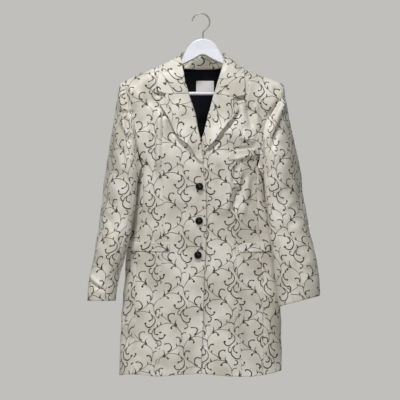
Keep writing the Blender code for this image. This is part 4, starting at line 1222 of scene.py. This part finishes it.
def colour_setting(name, description, default):
    """Colour property."""
    return FloatVectorProperty(name=name, description=description, default=default, min=0.0, max=1.0, size=3,
                               subtype="COLOR")


class BlazerSizes(bpy.types.PropertyGroup):
    """Sizes of the cloth and of its woven repeat."""

    wall: length_setting("Cloth wall", "Thickness of the lined cloth", CLOTH * MM, 0.0005, 0.003)
    grid: length_setting("Grid step", "Distance between points of the cloth", 0.0036, 0.002, 0.01)
    groove: length_setting("Seam depth", "How far a sewn seam sinks in", 0.0006, 0.0, 0.0015)
    crease: share_setting("Crease height", "Share of the placed creases", 1.6, 0.0, 2.0)
    repeat_across: length_setting("Repeat across", "Distance between two stems of the vine", 0.071, 0.05, 0.2)
    repeat_up: length_setting("Repeat up", "Height of one whole wave of the stem", 0.164, 0.1, 0.4)
    repeat_step: length_setting("Repeat step", "Rise from one stem to the next", 0.045, 0.0, 0.2)
    stroke: share_setting("Vine stroke", "Share of the charted stroke widths", 1.1, 0.3, 2.0)


class BlazerColours(bpy.types.PropertyGroup):
    """Colours of the cloth, trimmings and hanger."""

    ivory: colour_setting("Ivory", "Ground of the jacquard", (0.605, 0.578, 0.502))
    figure: colour_setting("Figure", "Woven vine", (0.022, 0.018, 0.012))
    lining: colour_setting("Lining", "Lining inside the body and sleeves", (0.0030, 0.0034, 0.0060))
    # painted light: paler, warmer copy of the ground for the collar stand, standing in for warm light in the
    # shaded neck
    stand: colour_setting("Stand", "Warmer ground of the collar stand", (1.0, 0.90, 0.70))
    label: colour_setting("Label", "Blank woven label", (0.90, 0.86, 0.86))
    button: colour_setting("Button", "Domed buttons", (0.004, 0.004, 0.004))
    wood: colour_setting("Wood", "Painted hanger", (0.76, 0.78, 0.83))
    wire: colour_setting("Wire", "Hook", (0.42, 0.39, 0.33))


def studio_floor():
    """Round pale floor below the part."""
    turn = circle(96)
    radius = np.linspace(0.0005, FLOOR_R, 8)[:, None]
    rings = np.stack(np.broadcast_arrays(radius * np.cos(turn), radius * np.sin(turn), FLOOR_Z), -1)
    points, faces = tube_faces(rings)
    look, _, shader = fresh("pale_floor")
    shader.inputs["Base Color"].default_value = FLOOR_COLOUR
    shader.inputs["Roughness"].default_value = 0.8
    floor = put("floor", points, faces, [look])


def studio_room():
    """Dim light all round, and a paler even ground where the camera looks past the part."""
    world = bpy.data.worlds.new("studio")
    world.use_nodes = True
    net = Net(world.node_tree)
    room = world.node_tree.nodes["Background"]
    room.inputs["Color"].default_value = ROOM_COLOUR
    ground = net.node("ShaderNodeBackground")
    ground.inputs["Color"].default_value = GROUND_COLOUR
    seen = net.node("ShaderNodeLightPath").outputs["Is Camera Ray"]
    both = net.fed(net.node("ShaderNodeMixShader"), seen, room.outputs[0], ground.outputs[0])
    net.join(both[0], world.node_tree.nodes["World Output"].inputs["Surface"])
    bpy.context.scene.world = world
    bpy.context.scene.view_settings.view_transform = "Standard"


def studio_lights():
    """Soft square lights, each turned towards its aim."""
    for name, place, aim, size, power in LIGHTS:
        data = bpy.data.lights.new(name, "AREA")
        data.energy = power
        data.size = size
        lamp = bpy.data.objects.new(name, data)
        lamp.location = place
        x, y, z = np.array(aim) - np.array(place)
        lamp.rotation_euler = (math.atan2(math.hypot(x, y), -z), 0.0, math.atan2(-x, y))
        bpy.context.scene.collection.objects.link(lamp)


def photo_camera():
    """Level camera straight in front, far enough away to look flat."""
    data = bpy.data.cameras.new("photo_camera")
    data.sensor_width = SENSOR
    data.lens = SENSOR * -CAMERA[1] / VIEW_WIDTH
    camera = bpy.data.objects.new("photo_camera", data)
    camera.location = CAMERA
    camera.rotation_euler = (math.radians(90), 0.0, 0.0)
    bpy.context.scene.collection.objects.link(camera)
    bpy.context.scene.camera = camera


class BLAZER_OT_hanger(bpy.types.Operator):
    """Shaped wooden hanger, its bar and its wire hook"""

    bl_idname = "blazer.hanger"
    bl_label = "Hanger"

    def execute(self, context):
        colours = context.scene.blazer_colours
        wood = glossy_look("painted_wood", tuple(colours.wood), 0.26, 0.42, 60.0, coat=0.25)
        wire = glossy_look("drawn_wire", tuple(colours.wire), 0.34, 0.5, 220.0, metal=0.7)
        turned("hanger_body_wood", "hanger_body", hanger_body_rings(), wood, "white_wood")
        turned("hanger_bar_wood", "hanger_bar", hanger_bar_rings(), wood, "white_wood")
        turned("hanger_hook_wire", "hanger_hook", hanger_hook_rings(), wire, "hook_wire")
        return {"FINISHED"}


class BLAZER_OT_body(bpy.types.Operator):
    """Front, side front, side and back panels, lined"""

    bl_idname = "blazer.body"
    bl_label = "Body panels"

    def execute(self, context):
        wall = context.scene.blazer_sizes.wall / MM
        grids, share = body_grids()
        level = int(np.argmin(np.abs(share - ARMPIT_ROW)))
        for name, (phi, z, lap) in grids.items():
            base, normals = skin(phi, z, lap), outward(phi, z, lap)
            sides = ("last",) if name.startswith("front") else ("first", "last")
            hollows = HOLLOWS + LAP_HOLLOWS * (name == "front_left")
            grid = grooved(creased(base, normals, hollows), normals, sides)
            start = 0 if name in ("side_right", "side_left") else level
            cut = flat_cut(name, base, start, base.shape[1] // 2)
            shell(name + "_cloth", name, grid, normals, wall, cut, [jacquard(), lining_look()], True)
        return {"FINISHED"}


class BLAZER_OT_sleeves(bpy.types.Operator):
    """Two-piece sleeves set into the armholes, lined"""

    bl_idname = "blazer.sleeves"
    bl_label = "Sleeves"

    def execute(self, context):
        wall = context.scene.blazer_sizes.wall / MM
        grids, share = body_grids()
        for tag, table, sign, tilt in (("right", SLEEVE_RIGHT, -1, CUFF_TILT_RIGHT),
                                       ("left", SLEEVE_LEFT, 1, CUFF_TILT_LEFT)):
            grid, normals, theta = sleeve_grid(grids, share, tag, table, sign, tilt)
            a, b = (int(np.argmin(np.abs(theta - math.radians(seam)))) for seam in SLEEVE_SEAMS)
            top = list(range(b, len(theta) - 1)) + list(range(0, a + 1))
            for name, index in (("top_sleeve_" + tag, top), ("under_sleeve_" + tag, list(range(a, b + 1)))):
                base, up = grid[:, index], normals[:, index]
                fine = grooved(creased(base, up), up, ("first", "last"))
                cut = flat_cut(name, base, SLEEVE_LEVEL, len(index) // 2)
                shell(name + "_cloth", name, fine, up, wall, cut, [jacquard(), lining_look()], True)
        return {"FINISHED"}


class BLAZER_OT_lapels(bpy.types.Operator):
    """Notched lapels turned over the fronts"""

    bl_idname = "blazer.lapels"
    bl_label = "Lapels"

    def execute(self, context):
        wall = context.scene.blazer_sizes.wall / MM
        for tag, edge, foot, outer, notch, lap, sign in (
            ("right", EDGE_RIGHT, FOOT_RIGHT, LAPEL_EDGE_RIGHT, NOTCH_RIGHT, True, -1),
            ("left", EDGE_LEFT, FOOT_LEFT, LAPEL_EDGE_LEFT, NOTCH_LEFT, False, 1),
        ):
            grid, normals, fold = lapel_grid(tag, edge, foot, outer, notch, lap, sign)
            cut = flat_cut("lapel_" + tag, grid, 0, fold)
            shell("lapel_%s_cloth" % tag, "lapel_" + tag, creased(grid, normals), normals, wall, cut,
                  [jacquard()], False)
        return {"FINISHED"}


class BLAZER_OT_collar(bpy.types.Operator):
    """Collar with its stand, turn and fall"""

    bl_idname = "blazer.collar"
    bl_label = "Collar"

    def execute(self, context):
        wall = context.scene.blazer_sizes.wall / MM
        grid, normals = collar_grid()
        cut = flat_cut("collar", grid, len(grid) // 2, TURN_COLUMN)
        # the stand band takes the painted-light copy of the jacquard, paler and warmer than the ground
        looks = [jacquard(), jacquard("jacquard_stand", "stand")]
        shell("collar_cloth", "collar", creased(grid, normals), normals, wall, cut, looks, False,
              band=STAND_COLUMNS)
        return {"FINISHED"}


class BLAZER_OT_pockets(bpy.types.Operator):
    """Breast welt and hip welts"""

    bl_idname = "blazer.pockets"
    bl_label = "Pocket welts"

    def execute(self, context):
        wall = context.scene.blazer_sizes.wall / MM
        for name, low_a, low_b, high_a, high_b in WELTS:
            flat = patch((high_b, high_a, low_b, low_a), *WELT_GRID)
            x, z = flat[..., 0], flat[..., 1]
            base, normals = laid(x, z, CLOTH + LIE), outward(angle(x, z), z)
            cut = flat_cut(name, base, 0, WELT_GRID[0] // 2)
            shell(name + "_cloth", name, creased(base, normals), normals, wall, cut, [jacquard()], False)
        return {"FINISHED"}


class BLAZER_OT_lining(bpy.types.Operator):
    """Back lining seen through the neck, and the blank label on it"""

    bl_idname = "blazer.lining"
    bl_label = "Lining and label"

    def execute(self, context):
        x = np.linspace(-LINING_HALF, LINING_HALF, 61)[None, ::-1]
        top = np.minimum(np.interp(x, *zip(*LINING_TOP)), smooth(RIDGE, x) - LINING_DROP)
        z = top + (LINING_FOOT - top) * np.linspace(0, 1, 71)[:, None]
        x = np.broadcast_to(x, z.shape)
        pleat = 1.4 * np.exp(-((x - 4) / 5) ** 2) - 0.6 * np.sin(x / 11 + z / 60) ** 2
        base, up = inside(x, z, LINING_AIR + np.clip(pleat, 0, None))
        shell("lining_back_cloth", "lining_back", base, up, LINING_WALL, along_pair(base), [lining_look()],
              False)
        first, last, high, low = LABEL
        flat = patch(((last, high), (first, high), (last, low), (first, low)), *LABEL_GRID)
        x, z = flat[..., 0], flat[..., 1]
        bow = LABEL_BOW * np.sin(math.pi * (x - first) / (last - first))
        base, up = inside(x, z, LABEL_AIR + bow)
        shell("neck_label_cloth", "neck_label", base, up, LABEL_WALL, along_pair(base), [label_look()],
              False)
        return {"FINISHED"}


class BLAZER_OT_buttons(bpy.types.Operator):
    """Three domed shank buttons"""

    bl_idname = "blazer.buttons"
    bl_label = "Buttons"

    def execute(self, context):
        black = tuple(context.scene.blazer_colours.button)
        look = glossy_look("polished_button", black, 0.14, 0.24, 300.0, bump=0.02, shine=0.2)
        profile = button_profile()
        radius, height = profile[:, :1], profile[:, 1:]
        turn = circle(48)
        for name, x, z in BUTTONS:
            seat = laid(x, z, CLOTH + LIE, True)
            rings = np.stack(np.broadcast_arrays(seat[0] + radius * np.cos(turn), seat[1] - height,
                                                 seat[2] + radius * np.sin(turn)), -1)
            turned(name + "_dome", name, rings, look, "black_button")
        return {"FINISHED"}


class BLAZER_OT_stage(bpy.types.Operator):
    """Pale floor, soft light and the camera"""

    bl_idname = "blazer.stage"
    bl_label = "Stage"

    def execute(self, context):
        studio_floor()
        studio_room()
        studio_lights()
        photo_camera()
        return {"FINISHED"}


OPERATORS = (
    BLAZER_OT_hanger, BLAZER_OT_body, BLAZER_OT_sleeves, BLAZER_OT_lapels, BLAZER_OT_collar,
    BLAZER_OT_pockets, BLAZER_OT_lining, BLAZER_OT_buttons, BLAZER_OT_stage,
)


class BLAZER_PT_panel(bpy.types.Panel):
    """Pieces, sizes and colours of the blazer"""

    bl_idname = "BLAZER_PT_panel"
    bl_label = "Longline Blazer"
    bl_space_type = "VIEW_3D"
    bl_region_type = "UI"
    bl_category = "Blazer"

    def draw(self, context):
        for group in (context.scene.blazer_sizes, context.scene.blazer_colours):
            box = self.layout.box()
            for name in group.__annotations__:
                box.prop(group, name)
        for operator in OPERATORS:
            self.layout.operator(operator.bl_idname)


CLASSES = (BlazerSizes, BlazerColours) + OPERATORS + (BLAZER_PT_panel,)


def register():
    """Add the classes and the two groups of settings."""
    for item in CLASSES:
        bpy.utils.register_class(item)
    bpy.types.Scene.blazer_sizes = PointerProperty(type=BlazerSizes)
    bpy.types.Scene.blazer_colours = PointerProperty(type=BlazerColours)


def unregister():
    """Take the settings and the classes away again."""
    del bpy.types.Scene.blazer_colours
    del bpy.types.Scene.blazer_sizes
    for item in reversed(CLASSES):
        bpy.utils.unregister_class(item)


def main():
    """Build every piece in order."""
    register()
    bpy.ops.blazer.hanger()
    bpy.ops.blazer.body()
    bpy.ops.blazer.sleeves()
    bpy.ops.blazer.lapels()
    bpy.ops.blazer.collar()
    bpy.ops.blazer.pockets()
    bpy.ops.blazer.lining()
    bpy.ops.blazer.buttons()
    bpy.ops.blazer.stage()


if __name__ == "__main__":
    main()
